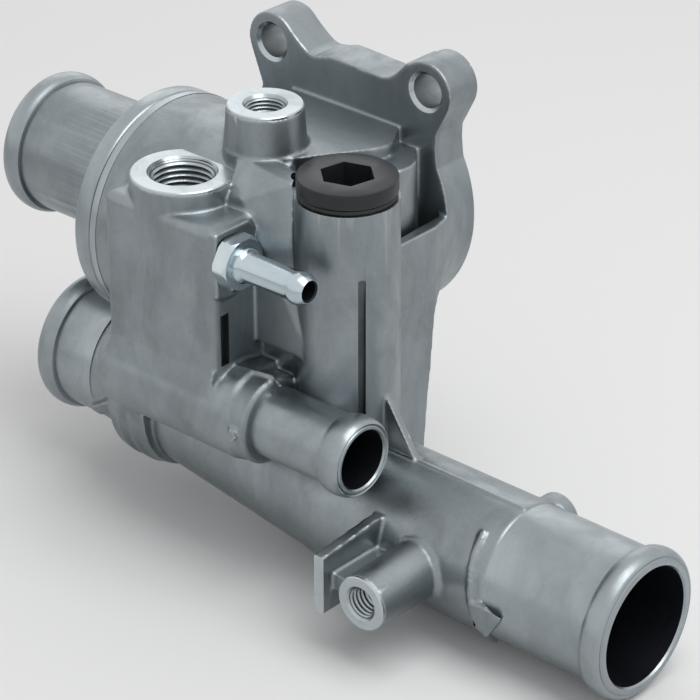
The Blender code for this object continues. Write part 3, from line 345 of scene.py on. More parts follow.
def new_tree_group(name, inputs, outputs):
    group = bpy.data.node_groups.new(name, "ShaderNodeTree")
    for label, kind, value in inputs:
        socket = group.interface.new_socket(label, in_out="INPUT", socket_type=kind)
        socket.default_value = value
    for label, kind in outputs:
        group.interface.new_socket(label, in_out="OUTPUT", socket_type=kind)
    return group, group.nodes.new("NodeGroupInput"), group.nodes.new("NodeGroupOutput")


def noise(tree, vector, scale, detail=2.0, roughness=0.5, distortion=0.0):
    node = tree.nodes.new("ShaderNodeTexNoise")
    node.inputs["Scale"].default_value = scale
    node.inputs["Detail"].default_value = detail
    node.inputs["Roughness"].default_value = roughness
    node.inputs["Distortion"].default_value = distortion
    tree.links.new(vector, node.inputs["Vector"])
    return node.outputs["Fac"]


def spread(tree, value, low, high, to_low=0.0, to_high=1.0):
    """Maps a value from one range to another and clamps it."""
    node = tree.nodes.new("ShaderNodeMapRange")
    for key, number in zip(("From Min", "From Max", "To Min", "To Max"), (low, high, to_low, to_high)):
        node.inputs[key].default_value = number
    tree.links.new(value, node.inputs["Value"])
    return node.outputs["Result"]


def blend_colour(tree, factor, first, second):
    node = tree.nodes.new("ShaderNodeMix")
    node.data_type = "RGBA"
    node.blend_type = "MIX"
    for label, value in (("Factor", factor), ("A", first), ("B", second)):
        socket = node.inputs[label]
        if isinstance(value, bpy.types.NodeSocket):
            tree.links.new(value, socket)
        elif isinstance(value, (tuple, list)):
            socket.default_value = (*value[:3], 1.0)
        else:
            socket.default_value = value
    return node.outputs["Result"]


def add(tree, *terms, operation="ADD"):
    """Sums or multiplies values."""
    total = terms[0]
    for term in terms[1:]:
        node = tree.nodes.new("ShaderNodeMath")
        node.operation = operation
        for socket, value in ((node.inputs[0], total), (node.inputs[1], term)):
            if isinstance(value, bpy.types.NodeSocket):
                tree.links.new(value, socket)
            else:
                socket.default_value = value
        total = node.outputs[0]
    return total


def cast_skin_group():
    """Mottled, slightly pitted skin of a die casting, brighter on its worn edges, with painted shade
    darkening its corners.
    """
    name = "cast_skin"
    if name in bpy.data.node_groups:
        return bpy.data.node_groups[name]
    group, given, out = new_tree_group(name, [
        ("Light", "NodeSocketColor", (0.5, 0.5, 0.5, 1.0)),
        ("Stain", "NodeSocketColor", (0.3, 0.3, 0.3, 1.0)),
        ("Roughness", "NodeSocketFloat", 0.4), ("Mottle", "NodeSocketFloat", 1.0),
        ("Edge wear and corner shade", "NodeSocketFloat", 1.0), ("Grain depth", "NodeSocketFloat", 1.0)],
        [("Colour", "NodeSocketColor"), ("Roughness", "NodeSocketFloat"), ("Normal", "NodeSocketVector")])
    link = group.links.new
    where = group.nodes.new("ShaderNodeTexCoord").outputs["Object"]
    stretch = group.nodes.new("ShaderNodeMapping")
    stretch.inputs["Scale"].default_value = (1.0, 1.0, 0.45)
    link(where, stretch.inputs["Vector"])
    flow = stretch.outputs["Vector"]

    clouds = spread(group, noise(group, flow, 95.0, 5.0, 0.62, 0.6), 0.36, 0.66)
    patches = spread(group, noise(group, where, 34.0, 4.0, 0.6, 1.2), 0.40, 0.68)
    specks = spread(group, noise(group, where, 900.0, 2.0, 0.6), 0.60, 0.74)
    scuffs = spread(group, noise(group, flow, 420.0, 3.0, 0.7, 2.0), 0.55, 0.75)
    stain = add(group, add(group, clouds, 0.50, operation="MULTIPLY"),
                add(group, patches, 0.30, operation="MULTIPLY"),
                add(group, specks, 0.22, operation="MULTIPLY"))
    stain = add(group, stain, given.outputs["Mottle"], operation="MULTIPLY")
    colour = blend_colour(group, stain, given.outputs["Light"], given.outputs["Stain"])

    edge = group.nodes.new("ShaderNodeNewGeometry").outputs["Pointiness"]
    ridge = add(group, spread(group, edge, 0.52, 0.62), given.outputs["Edge wear and corner shade"], operation="MULTIPLY")
    # Painted shade: concave corners and creases, found by pointiness, are darkened towards near-black to
    # stand for the shade that falls in them. The bright ridges are worn metal.
    corner = add(group, spread(group, edge, 0.485, 0.40), given.outputs["Edge wear and corner shade"], operation="MULTIPLY")
    worn, shaded = (0.62, 0.68, 0.71), (0.055, 0.065, 0.070)
    colour = blend_colour(group, add(group, ridge, 0.60, operation="MULTIPLY"), colour, worn)
    colour = blend_colour(group, add(group, corner, 0.75, operation="MULTIPLY"), colour, shaded)
    link(colour, out.inputs["Colour"])

    rough = add(group, given.outputs["Roughness"], spread(group, clouds, 0.0, 1.0, -0.05, 0.09),
                spread(group, scuffs, 0.0, 1.0, 0.0, 0.08), spread(group, ridge, 0.0, 1.0, 0.0, -0.10))
    link(rough, out.inputs["Roughness"])

    grain = noise(group, where, 1500.0, 3.0, 0.6)
    waves = noise(group, where, 160.0, 3.0, 0.5)
    height = add(group, add(group, grain, 0.35, operation="MULTIPLY"),
                 add(group, waves, 1.0, operation="MULTIPLY"),
                 add(group, scuffs, 0.12, operation="MULTIPLY"))
    bump = group.nodes.new("ShaderNodeBump")
    bump.inputs["Distance"].default_value = 0.00016
    link(height, bump.inputs["Height"])
    link(given.outputs["Grain depth"], bump.inputs["Strength"])
    link(bump.outputs["Normal"], out.inputs["Normal"])
    return group


def turned_group():
    """Fine turning lines round an axis of a machined face."""
    name = "turned_lines"
    if name in bpy.data.node_groups:
        return bpy.data.node_groups[name]
    group, given, out = new_tree_group(name, [
        ("Light", "NodeSocketColor", (0.6, 0.6, 0.6, 1.0)),
        ("Stain", "NodeSocketColor", (0.4, 0.4, 0.4, 1.0)),
        ("Roughness", "NodeSocketFloat", 0.3), ("Line depth", "NodeSocketFloat", 1.0)],
        [("Colour", "NodeSocketColor"), ("Roughness", "NodeSocketFloat"), ("Normal", "NodeSocketVector")])
    link = group.links.new
    where = group.nodes.new("ShaderNodeTexCoord").outputs["Object"]
    lines = group.nodes.new("ShaderNodeMapping")
    lines.inputs["Scale"].default_value = (26.0, 1.0, 1.0)
    link(where, lines.inputs["Vector"])
    fine = noise(group, lines.outputs["Vector"], 130.0, 3.0, 0.65)
    clouds = spread(group, noise(group, where, 110.0, 4.0, 0.6, 0.8), 0.40, 0.68)
    specks = spread(group, noise(group, where, 800.0, 2.0, 0.6), 0.60, 0.74)
    stain = add(group, add(group, clouds, 0.60, operation="MULTIPLY"),
                add(group, specks, 0.2, operation="MULTIPLY"))
    colour = blend_colour(group, stain, given.outputs["Light"], given.outputs["Stain"])
    edge = group.nodes.new("ShaderNodeNewGeometry").outputs["Pointiness"]
    colour = blend_colour(group, spread(group, edge, 0.52, 0.60, 0.0, 0.5), colour, (0.66, 0.72, 0.75))
    # Painted shade: concave corners, found by pointiness, are darkened to stand for the shade that falls in
    # them.
    colour = blend_colour(group, spread(group, edge, 0.48, 0.42, 0.0, 0.6), colour, (0.08, 0.095, 0.10))
    link(colour, out.inputs["Colour"])
    link(add(group, given.outputs["Roughness"], spread(group, clouds, 0.0, 1.0, -0.04, 0.10)),
         out.inputs["Roughness"])
    bump = group.nodes.new("ShaderNodeBump")
    bump.inputs["Distance"].default_value = 0.00005
    link(add(group, fine, add(group, noise(group, where, 200.0, 3.0), 1.5, operation="MULTIPLY")),
         bump.inputs["Height"])
    link(given.outputs["Line depth"], bump.inputs["Strength"])
    link(bump.outputs["Normal"], out.inputs["Normal"])
    return group


def grouped_material(name, group, values, metallic=1.0):
    """A Principled material whose colour, roughness and normal come from a group with these values."""
    if name in bpy.data.materials:
        return bpy.data.materials[name]
    mat = bpy.data.materials.new(name)
    mat.use_nodes = True
    tree = mat.node_tree
    shader = tree.nodes["Principled BSDF"]
    shader.inputs["Metallic"].default_value = metallic
    node = tree.nodes.new("ShaderNodeGroup")
    node.node_tree = group
    for key, value in values.items():
        node.inputs[key].default_value = (*value, 1.0) if isinstance(value, (tuple, list)) else value
    for label, socket in (("Colour", "Base Color"), ("Roughness", "Roughness"), ("Normal", "Normal")):
        tree.links.new(node.outputs[label], shader.inputs[socket])
    return mat


def scaled(colour, factor):
    return tuple(min(1.0, c * factor) for c in colour)


def cast_metal():
    look = bpy.context.scene.metal_colours
    return grouped_material("die_cast_skin", cast_skin_group(),
                            {"Light": tuple(look.cast), "Stain": tuple(look.cast_dark), "Roughness": 0.38,
                             "Mottle": 0.95, "Edge wear and corner shade": 1.0, "Grain depth": 0.5})


def machined_metal():
    look = bpy.context.scene.metal_colours
    return grouped_material("machined_metal", turned_group(),
                            {"Light": scaled(look.cast, 1.35), "Stain": tuple(look.cast), "Roughness": 0.27,
                             "Line depth": 0.5})


def spigot_metal():
    look = bpy.context.scene.metal_colours
    return grouped_material("spigot_metal", cast_skin_group(),
                            {"Light": scaled(look.cast, 1.12), "Stain": scaled(look.cast_dark, 1.2),
                             "Roughness": 0.32, "Mottle": 0.85, "Edge wear and corner shade": 0.5, "Grain depth": 0.35})


def painted_shade_metal():
    """Painted shade: a darker copy of the cast metal for drilled holes, thread grooves and recesses that
    little light reaches, standing in for the shade in them.
    """
    look = bpy.context.scene.metal_colours
    return grouped_material("painted_shade_metal", turned_group(),
                            {"Light": scaled(look.cast_dark, 0.75), "Stain": scaled(look.cast_dark, 0.45),
                             "Roughness": 0.42, "Line depth": 0.6})


def bore_shade_metal():
    # Painted shade: near-black metal for the insides of bores and pipes, standing in for the shade in them.
    look = bpy.context.scene.metal_colours
    return grouped_material("bore_shade_metal", cast_skin_group(),
                            {"Light": tuple(look.bore), "Stain": scaled(look.bore, 0.6),
                             "Roughness": 0.55, "Mottle": 0.8, "Edge wear and corner shade": 0.0, "Grain depth": 0.6})


def zinc_metal():
    look = bpy.context.scene.metal_colours
    return grouped_material("zinc_plate", turned_group(),
                            {"Light": tuple(look.zinc), "Stain": scaled(look.zinc, 0.8),
                             "Roughness": 0.17, "Line depth": 0.25})


def plug_plastic():
    look = bpy.context.scene.metal_colours
    mat = grouped_material("plug_plastic", cast_skin_group(),
                           {"Light": tuple(look.plug), "Stain": scaled(look.plug, 1.6),
                            "Roughness": 0.36, "Mottle": 0.7, "Edge wear and corner shade": 0.0, "Grain depth": 0.25}, 0.0)
    mat.node_tree.nodes["Principled BSDF"].inputs["Specular IOR Level"].default_value = 0.4
    return mat


def seal_rubber():
    return grouped_material("seal_rubber", cast_skin_group(),
                            {"Light": (0.012, 0.012, 0.012), "Stain": (0.025, 0.025, 0.025), "Roughness": 0.6,
                             "Mottle": 0.8, "Edge wear and corner shade": 0.0, "Grain depth": 0.5}, 0.0)


def plain_metal(name, colour, roughness):
    return grouped_material(name, turned_group(),
                            {"Light": colour, "Stain": scaled(colour, 0.75), "Roughness": roughness,
                             "Line depth": 0.4})


# Shapes of the casting

def flange_form():
    """The mounting plate: two ears above the round port and a third below it."""
    outline = arc((-25.3, 7.2), 7.8, 205, 40, 20)
    outline += [(-17.4, 10.6), (-15.3, 9.0), (-13.2, 7.7), (-11.2, 7.3), (-8.4, 7.8), (-5.0, 8.8),
                (11.2, 8.0), (13.8, 8.7), (15.9, 10.3), (17.6, 12.2), (19.3, 14.0)]
    outline += arc((25.3, 8.0), 7.8, 130, -28, 20) + [(28.7, -2.5), (28.6, -6.0)]
    outline += arc((0.0, -26.5), 33.0, 28, -62, 30)
    outline += arc((-4.0, -68.0), 7.8, -12, -168, 20)
    outline += arc((0.0, -26.5), 33.0, 242, 160, 28) + [(-28.8, -5.0)]
    return plate("flange_form", "Y", outline, 0.8, -10.3)


def upper_forms():
    """Chamber drum, neck, deck, shoulder and the ears' plate."""
    forms = [turned("drum", "X", CHAMBER, [(-37.8, 29.5), (10.5, 29.6)]),
             turned("drum_core", "X", CHAMBER, [(9.0, 21.2), (19.5, 21.2)]),
             flange_form(),
             turned("neck", "Y", (0.0, -34.1, -26.5), [(0.0, 22.4), (28.9, 22.4)])]
    deck = []
    for height in (-3.5, -33.3):
        deck += [("Z", (13.2, -20.3, height), 8.8), ("Z", (-0.8, -38.9, height), 10.4)]
    corners = [(x, y, z) for z in (-3.5, -33.3) for x, y in ((-18.0, -34.1), (-18.0, -5.0), (13.2, -5.0))]
    forms.append(stretched("deck", deck, corners))
    forms.append(turned("shoulder", "Z", (19.3, -21.3, 0.0), [(-45.0, 10.6), (-7.5, 10.0), (-7.0, 9.5)]))
    forms.append(block("shoulder_back", (13.2, 23.5), (-21.3, -5.0), (-45.0, -7.4)))
    return forms


def column_forms():
    """Column and web behind the tower, the tower itself and the front wall."""
    column = [(8.0, -20.0, -87.0), (34.5, -20.0, -87.0), (8.0, -16.5, -42.0), (35.0, -16.5, -42.0)]
    column += [(x, -46.0, z) for x in (8.0, 35.0) for z in (-87.0, -42.0)]
    web = []
    for y, right, low in ((-43.5, 34.6, -46.0), (-16.5, 34.6, -46.0), (-9.5, 32.8, -34.0)):
        web += [(x, y, z) for x in (right - 2.2, right) for z in (-23.0, low)]
    wall = [(x, y, -46.5) for x in (2.0, 29.8) for y in (-56.0, -43.5)]
    wall += [(2.0, -56.0, -11.5), (7.0, -56.0, -9.9), (18.0, -50.0, -4.6), (-0.8, -48.5, -3.7),
             (14.8, -46.5, -3.7), (29.8, -43.5, -6.6), (-0.8, -43.5, -3.7)]
    return [stretched("column", spots=column), stretched("web", spots=web),
            turned("tower", "Z", TOWER, [(-87.0, 13.2), (-5.0, 12.6)]),
            stretched("wall", spots=wall)]


def front_forms():
    """Front block with its port bosses, the duct with its saddle, and the metal between them and the pipe."""
    pad = turned("bleed_pad", "X", NIPPLE, [(7.0, 10.2), (11.8, 10.2)])
    combine(pad, [block("pad_limit", (6.0, 13.0), (-69.8, -50.0), (-40.0, -13.3))], "INTERSECT")
    saddle = [(x, y, z) for x in (-27.0, 16.0) for y, z in ((-63.2, -75.5), (-33.5, -75.5), (-33.5, -56.0))]
    fillet = [(-70.3, -50.0), (-72.5, -57.3), (-61.5, -62.4), (-61.5, -50.0)]
    nub = [(18.6, -73.6, -60.6), (20.6, -73.9, -60.8), (21.4, -74.4, -62.6), (20.2, -74.6, -63.9),
           (18.3, -74.3, -63.4), (17.9, -73.8, -61.8), (19.6, -70.0, -62.4)]
    return [block("front_block", (-25.8, 11.0), (-70.4, -40.0), (-60.0, -12.9), 2.5),
            turned("port_large_boss", "Z", PORT_LARGE, [(-17.0, 13.2), (-8.2, 12.9)]),
            turned("port_small_boss", "Z", PORT_SMALL, [(-13.0, 10.2), (-3.5, 10.2), (6.4, 9.5)]),
            turned("duct", "X", HEATER, [(-29.0, 10.2), (-27.0, 12.2), (16.0, 12.2), (17.0, 11.4),
                                         (21.6, 11.4), (22.5, 10.4)]),
            stretched("saddle", [("X", (x, *HEATER[1:]), 12.2) for x in (-27.0, 16.0)], saddle),
            block("core", (-25.1, 31.0), (-53.5, -31.5), (-73.9, -33.3)),
            plate("fillet", "X", fillet, -24.6, 10.6), pad, stretched("nub", spots=nub),
            *strand("flash", [(7.6, -64.2, -50.6), (21.5, -61.4, -50.5), (25.3, -62.6, -51.3)], 0.55)]


def pipe_forms():
    """Return pipe up to its spigots, with the heel, rib, lug, stubs, bracket boss, plate and gusset."""
    heel = [(-36.5, 16.8), (-35.5, 18.7), (-33.5, 20.2), (-30.3, 20.7), (-29.9, 19.8), (-27.5, 19.8),
            (-27.1, 20.7), (-25.5, 20.7), (-25.1, 20.1), (-21.5, 19.9)]
    stub_left = [(-33.6, -62.0, -76.4), (-35.0, -63.2, -78.6), (-38.5, -62.8, -80.4), (-43.4, -61.0, -83.4),
                 (-46.4, -58.2, -86.4), (-45.6, -55.0, -83.6), (-38.0, -56.5, -77.6), (-33.0, -57.0, -75.6),
                 (-36.2, -60.6, -82.6), (-42.0, -58.6, -86.6)]
    stub_right = [(84.0, -62.4, -87.6), (91.5, -62.6, -86.8), (93.6, -61.0, -88.6), (86.0, -60.0, -86.4),
                  (84.2, -61.2, -93.8), (89.2, -61.4, -95.6), (91.0, -58.0, -92.0), (85.0, -57.0, -97.0)]
    stop = [(-80.8, -95.0), (-80.8, -79.4), (-61.0, -77.6), (-59.0, -77.8), (-57.6, -79.0), (-50.0, -84.0),
            (-50.0, -95.0)]
    boss_root = turned("boss_root", "X", PIPE, [(56.0, 18.0), (77.0, 18.0)])
    combine(boss_root, [turned("root_limit", "Y", BRACKET, [(-36.0, 8.2), (-8.0, 8.2)])], "INTERSECT")
    rib = tilted(turned("rib", "X", PIPE, [(83.2, 18.4), (84.8, 18.4)]), "Y", -8.5, (84.0, -43.5, -87.0))
    combine(rib, [block("front", (70.0, 100.0), (-80.0, -54.1), (-107.0, -60.0))], "INTERSECT")
    return [turned("pipe_right", "X", PIPE, [(28.0, 17.5), (86.3, 17.5), (87.1, 17.1)]),
            stretched("pipe_slope", [("X", (30.0, *PIPE[1:]), 17.5), ("X", (-47.0, *PIPE_LEFT[1:]), 16.7)]),
            turned("heel", "X", (0.0, -43.5, -78.0), heel),
            stretched("heel_web", [("X", (x, -43.5, -78.0), 19.5) for x in (-31.5, -22.5)]
                      + [("X", (-26.0, *HEATER[1:]), 5.5), ("X", (-22.5, *HEATER[1:]), 7.3)]),
            turned("bracket_boss", "Y", BRACKET, [(-36.0, 7.0), (0.0, 7.6)]), boss_root,
            plate("stop_plate", "X", stop, 51.8, 54.8),
            block("plate_bridge", (53.3, 66.3), (-77.0, -43.5), (-89.2, -84.8)),
            plate("gusset", "Y", [(29.8, -55.0), (43.0, -55.0), (53.0, -70.2), (53.0, -87.0), (29.8, -87.0)],
                  -44.6, -42.4),
            turned("lug", "Y", (84.8, -30.8, -78.2), [(-2.0, 5.8), (2.0, 5.8)]), rib,
            stretched("stub_left", spots=stub_left), stretched("stub_right", spots=stub_right),
            *strand("parting_line", [(43.0, -44.0, -69.7), (86.0, -44.0, -69.7)], 0.6)]


def slot_cutter():
    """The upright slot in the tower's side, which deepens over its top end."""
    angle = math.radians(-32.7)
    out = Vector((math.cos(angle), math.sin(angle), 0.0))
    across = Vector((-math.sin(angle), math.cos(angle), 0.0))
    side = [(15.0, -20.5), (12.9, -21.5), (11.6, -29.5), (11.6, -66.0), (15.0, -66.0)]
    spots = [Vector((TOWER[0], TOWER[1], height)) + out * away + across * half
             for away, height in side for half in (-0.95, 0.95)]
    return stretched("tower_slot", spots=spots)


def casting_cutters():
    """What is cut from the skin: the machined faces, the recesses and the holes."""
    skin, hole, bore, machined = cast_metal(), painted_shade_metal(), bore_shade_metal(), machined_metal()
    faces = [block("engine_face", (-60.0, 60.0), (0.0, 12.0), (-90.0, 30.0)),
             block("bracket_face", (48.0, 78.0), (-95.0, -80.0), (-100.0, -74.0)),
             turned("plug_seat", "Z", TOWER, [(-6.1, 13.4), (8.0, 13.4)])]
    recesses = [turned("notch", "Z", (17.4, -46.5, 0.0), [(-9.0, 2.2), (4.0, 2.2)], 32)]
    dark = [slot_cutter(), block("pocket", (9.0, 12.0), (-67.9, -65.1), (-49.2, -35.5)),
            turned("bracket_hole", "Y", BRACKET, [(-37.5, 5.4), (-35.8, 4.2), (-21.5, 4.2)], 48),
            turned("stub_hole", "Y", (84.9, 0.0, -93.3), [(-64.5, 1.1), (-59.0, 1.1)], 20)]
    holes = [turned("chamber_bore", "X", CHAMBER, [(-45.0, 26.2), (-31.5, 26.2), (-31.5, 24.0), (8.0, 24.0)]),
             turned("bypass_hole", "X", CHAMBER, [(7.0, 8.0), (25.8, 8.0)], 48),
             turned("port_bore", "Y", (0.0, -34.1, -26.5), [(0.0, 19.0), (36.0, 19.0)]),
             turned("gasket_groove", "Y", ENGINE_PORT, [(-2.4, 20.5), (2.0, 20.5), (2.0, 23.6), (-2.4, 23.6),
                                                        (-2.4, 20.5)]),
             stretched("channel", [("Z", (25.8, -33.1, z), 6.2) for z in (-83.0, -33.3)]
                       + [("Z", (29.8, -43.5, z), 6.2) for z in (-83.0, -33.3)]),
             turned("tower_bore", "Z", TOWER, [(-83.0, 8.5), (0.0, 8.5)]),
             turned("bore_right", "X", PIPE, [(28.0, 15.05), (90.0, 15.05)]),
             stretched("bore_slope", [("X", (29.0, *PIPE[1:]), 15.0), ("X", (-46.0, *PIPE_LEFT[1:]), 14.6)]),
             turned("bore_left", "X", PIPE_LEFT, [(-70.0, 14.65), (-45.0, 14.65)]),
             turned("heater_bore", "X", HEATER, [(-16.8, 7.55), (30.0, 7.55)]),
             turned("large_thread_hole", "Z", PORT_LARGE, [(-25.6, 8.2), (0.0, 8.2)]),
             turned("supply_hole", "Z", PORT_LARGE, [(-62.4, 6.0), (-25.0, 6.0)], 48),
             turned("small_thread_hole", "Z", PORT_SMALL, [(-17.3, 5.2), (10.0, 5.2)], 48),
             turned("bleed_hole", "X", NIPPLE, [(2.8, 4.2), (14.0, 4.2)], 32)]
    made_of(machined, *faces)
    made_of(skin, *recesses)
    # Painted shade: the slot, the pocket and the bracket and stub holes take the darker painted-shade metal,
    # and the bores take the near-black one.
    made_of(hole, *dark)
    made_of(bore, *holes)
    bolts = []
    for x, z in EARS:
        bolt = turned("bolt_hole", "Y", (x, 0.0, z), [(2.0, 4.4), (-9.4, 4.4), (-12.4, 7.4)], 48)
        # Painted shade on the bolt holes' walls. Their chamfers are machined metal.
        made_of(hole, bolt)
        bolts.append(paint(bolt, machined, lambda face: 0.2 < abs(face.normal.y) < 0.95))
    return faces + recesses + dark + holes + bolts


class HOUSING_OT_casting(bpy.types.Operator):
    """Builds the casting's skin: its forms are joined, rounded as a die rounds them, and then machined"""
    bl_idname = "housing.casting"
    bl_label = "Casting"

    def execute(self, context):
        sizes = context.scene.casting_sizes
        skin = joined("casting_skin", upper_forms() + column_forms() + front_forms() + pipe_forms())
        finish_with(skin, "REMESH", mode="VOXEL", voxel_size=sizes.grain, use_smooth_shade=True)
        finish_with(skin, "SMOOTH", factor=0.5, iterations=sizes.fillet_passes)
        count = 2 * len(skin.data.polygons)
        finish_with(skin, "DECIMATE", decimate_type="COLLAPSE", ratio=min(1.0, sizes.facets / count))
        skin.data.materials.clear()
        made_of(cast_metal(), skin)
        cutters = casting_cutters()
        combine(cutters[0], cutters[1:], "UNION")
        combine(skin, cutters[:1], "DIFFERENCE")
        dress(skin, None, "housing", ("housing_casting",), 40.0)
        return {"FINISHED"}


class HOUSING_OT_spigots(bpy.types.Operator):
    """Builds the three machined hose spigots of the casting and the ring round the chamber's mouth"""
    bl_idname = "housing.spigots"
    bl_label = "Spigots"

    def execute(self, context):
        right = [(86.6, 17.25)] + bead_end(122.0, 17.2, 1.7, 6.0, 3.3)
        self.spigot("pump_spigot", 1.0, PIPE, right, 15.0)
        left = [(44.0, 16.9)] + bead_end(63.2, 16.9, 1.7, 6.0, 3.3)
        self.spigot("bypass_spigot", -1.0, PIPE_LEFT, left, 14.6)
        heater = [(21.6, 8.9)] + bead_end(50.9, 8.9, 1.3, 7.0, 3.6, 0.5)
        self.spigot("heater_spigot", 1.0, HEATER, heater, 7.5)
        mouth = turned("mouth_ring", "X", CHAMBER,
                       [(-38.3, 29.3), (-38.0, 29.62), (-36.0, 29.62), (-36.0, 26.3), (-38.3, 26.3),
                        (-38.3, 29.3)])
        dress(mouth, spigot_metal())
        return {"FINISHED"}

    @staticmethod
    def spigot(name, sign, place, outline, bore_r):
        """A tube with its bead, and the bore painted near-black as shade."""
        start, end = outline[0][0], outline[-1][0]
        ring = outline + [(end, bore_r + 0.35), (end - 0.5, bore_r), (start, bore_r), outline[0]]
        obj = turned(name, "X", place, [(sign * a, r) for a, r in ring])
        dress(obj, spigot_metal())
        axis = Vector((0.0, place[1], place[2])) * MM

        def inside(face):
            away = face.center - axis
            away.x = 0.0
            return away.length < (bore_r + 0.1) * MM and away.dot(face.normal) < 0

        # Painted shade: the bore's faces take the near-black material.
        paint(obj, bore_shade_metal(), inside)


class HOUSING_OT_ports(bpy.types.Operator):
    """Builds the machined tops and the threads of the two sensor ports and the bracket boss"""
    bl_idname = "housing.ports"
    bl_label = "Ports"

    def execute(self, context):
        self.thread("port_large_thread", "Z", PORT_LARGE, -7.6, 12.75, 7.2, 8.1, 1.5, 11, 1.0)
        self.thread("port_small_thread", "Z", PORT_SMALL, 7.0, 9.35, 4.45, 5.05, 1.0, 14, 0.8)
        self.thread("bracket_thread", "-Y", BRACKET, 36.5, 6.9, 3.5, 4.1, 1.25, 11, 0.6)
        return {"FINISHED"}

    @staticmethod
    def thread(name, way, place, top, outer, inner, root, pitch, turns, chamfer):
        """A ring with a faced top, a chamfer and the ridges of a thread below it, with painted shade between
        its crests.
        """
        axis, sign = way[-1], -1.0 if way[0] == "-" else 1.0
        outline = [(top - 1.6, outer), (top - 0.25, outer), (top, outer - 0.25), (top, root + chamfer * 0.6),
                   (top - chamfer, root - 0.1)]
        depth, middle = top - chamfer, inner * 0.45 + root * 0.55
        for k in range(turns):
            outline += [(depth - pitch * 0.20, middle), (depth - pitch * 0.44, inner),
                        (depth - pitch * 0.56, inner), (depth - pitch * 0.80, middle),
                        (depth - pitch, root - 0.1)]
            depth -= pitch
        outline += [(depth - 0.3, root + 0.5), (top - 1.6, root + 0.5), (top - 1.6, outer)]
        obj = turned(name, axis, place, [(sign * a, r) for a, r in outline], 72)
        dress(obj, machined_metal(), angle=25.0)
        centre, along = point(place), WAY[axis]

        def between_crests(face):
            away = face.center - centre
            height = away.dot(along) * sign
            away -= along * away.dot(along)
            return middle * MM - 1e-6 < away.length < (root + 0.2) * MM and height < (top - chamfer) * MM

        # Painted shade: the faces between the crests take the darker painted-shade metal.
        return paint(obj, painted_shade_metal(), between_crests)


class HOUSING_OT_outlet(bpy.types.Operator):
    """Builds the outlet cover: the round foot, the swept neck and the radiator spigot"""
    bl_idname = "housing.outlet"
    bl_label = "Outlet cover"

    def execute(self, context):
        foot = turned("outlet_shell", "X", CHAMBER,
                      [(-43.6, 28.9), (-43.3, 29.4), (-42.9, 29.6), (-39.2, 29.6), (-38.8, 29.4),
                       (-38.6, 29.1), (-38.6, 25.9), (-36.0, 25.9)])
        neck = stretched("neck", [("X", (-42.6, *CHAMBER[1:]), 25.6), ("X", (-50.0, *OUTLET[1:]), 17.3)])
        tube = turned("tube", "X", OUTLET, [(-49.0, 17.2)]
                      + [(-a, r) for a, r in bead_end(82.4, 17.2, 1.7, 6.0, 3.3)])
        made_of(spigot_metal(), foot, neck, tube)
        combine(foot, [neck, tube], "UNION")
        cuts = [turned("mouth", "X", CHAMBER, [(-42.6, 22.9), (-34.0, 22.9)]),
                stretched("funnel", [("X", (-42.5, *CHAMBER[1:]), 22.9), ("X", (-49.5, *OUTLET[1:]), 14.8)]),
                turned("bore", "X", OUTLET, [(-83.4, 15.7), (-82.0, 14.8), (-47.5, 14.8)]),
                turned("relief", "X", PIPE_LEFT, [(-45.0, 17.8), (-38.0, 17.8)])]
        # Painted shade: the faces cut inside the cover are near-black.
        made_of(bore_shade_metal(), *cuts)
        combine(foot, cuts, "DIFFERENCE")
        dress(foot, None, replaces=("outlet_cover",))
        return {"FINISHED"}


class HOUSING_OT_plug(bpy.types.Operator):
    """Builds the closing plug with its hexagon socket, and the seal under its head"""
    bl_idname = "housing.plug"
    bl_label = "Closing plug"

    def execute(self, context):
        seat, top, floor = -4.7, -0.7, -7.7
        outline = [(seat - 12.0, 7.1), (seat - 11.0, 8.1), (seat, 8.1), (seat, 11.7), (seat + 0.15, 12.05),
                   (seat + 0.45, 12.2), (top - 0.5, 12.2), (top - 0.15, 12.05), (top, 11.7)]
        plug = turned("plug_body", "Z", TOWER, outline)
        deselect()
        corner = 6.0 / math.cos(math.pi / 6) * MM
        bpy.ops.mesh.primitive_cylinder_add(vertices=6, radius=corner, depth=0.010,
                                            location=point((TOWER[0], TOWER[1], floor + 5.0)),
                                            rotation=(0.0, 0.0, math.radians(KEY_TURN)))
        socket = settle(bpy.context.object, "socket")
        made_of(plug_plastic(), plug, socket)
        combine(plug, [socket], "DIFFERENCE")
        dress(plug, None, replaces=("closing_plug",), angle=25.0)
        seal = turned("seal_ring", "Z", TOWER,
                      [(-6.05, 9.0), (-6.05, 11.6), (-5.8, 11.95), (-5.4, 12.05), (-5.0, 11.95),
                       (-4.75, 11.6), (-4.75, 9.0), (-6.05, 9.0)])
        dress(seal, seal_rubber(), replaces=("plug_seal",))
        return {"FINISHED"}


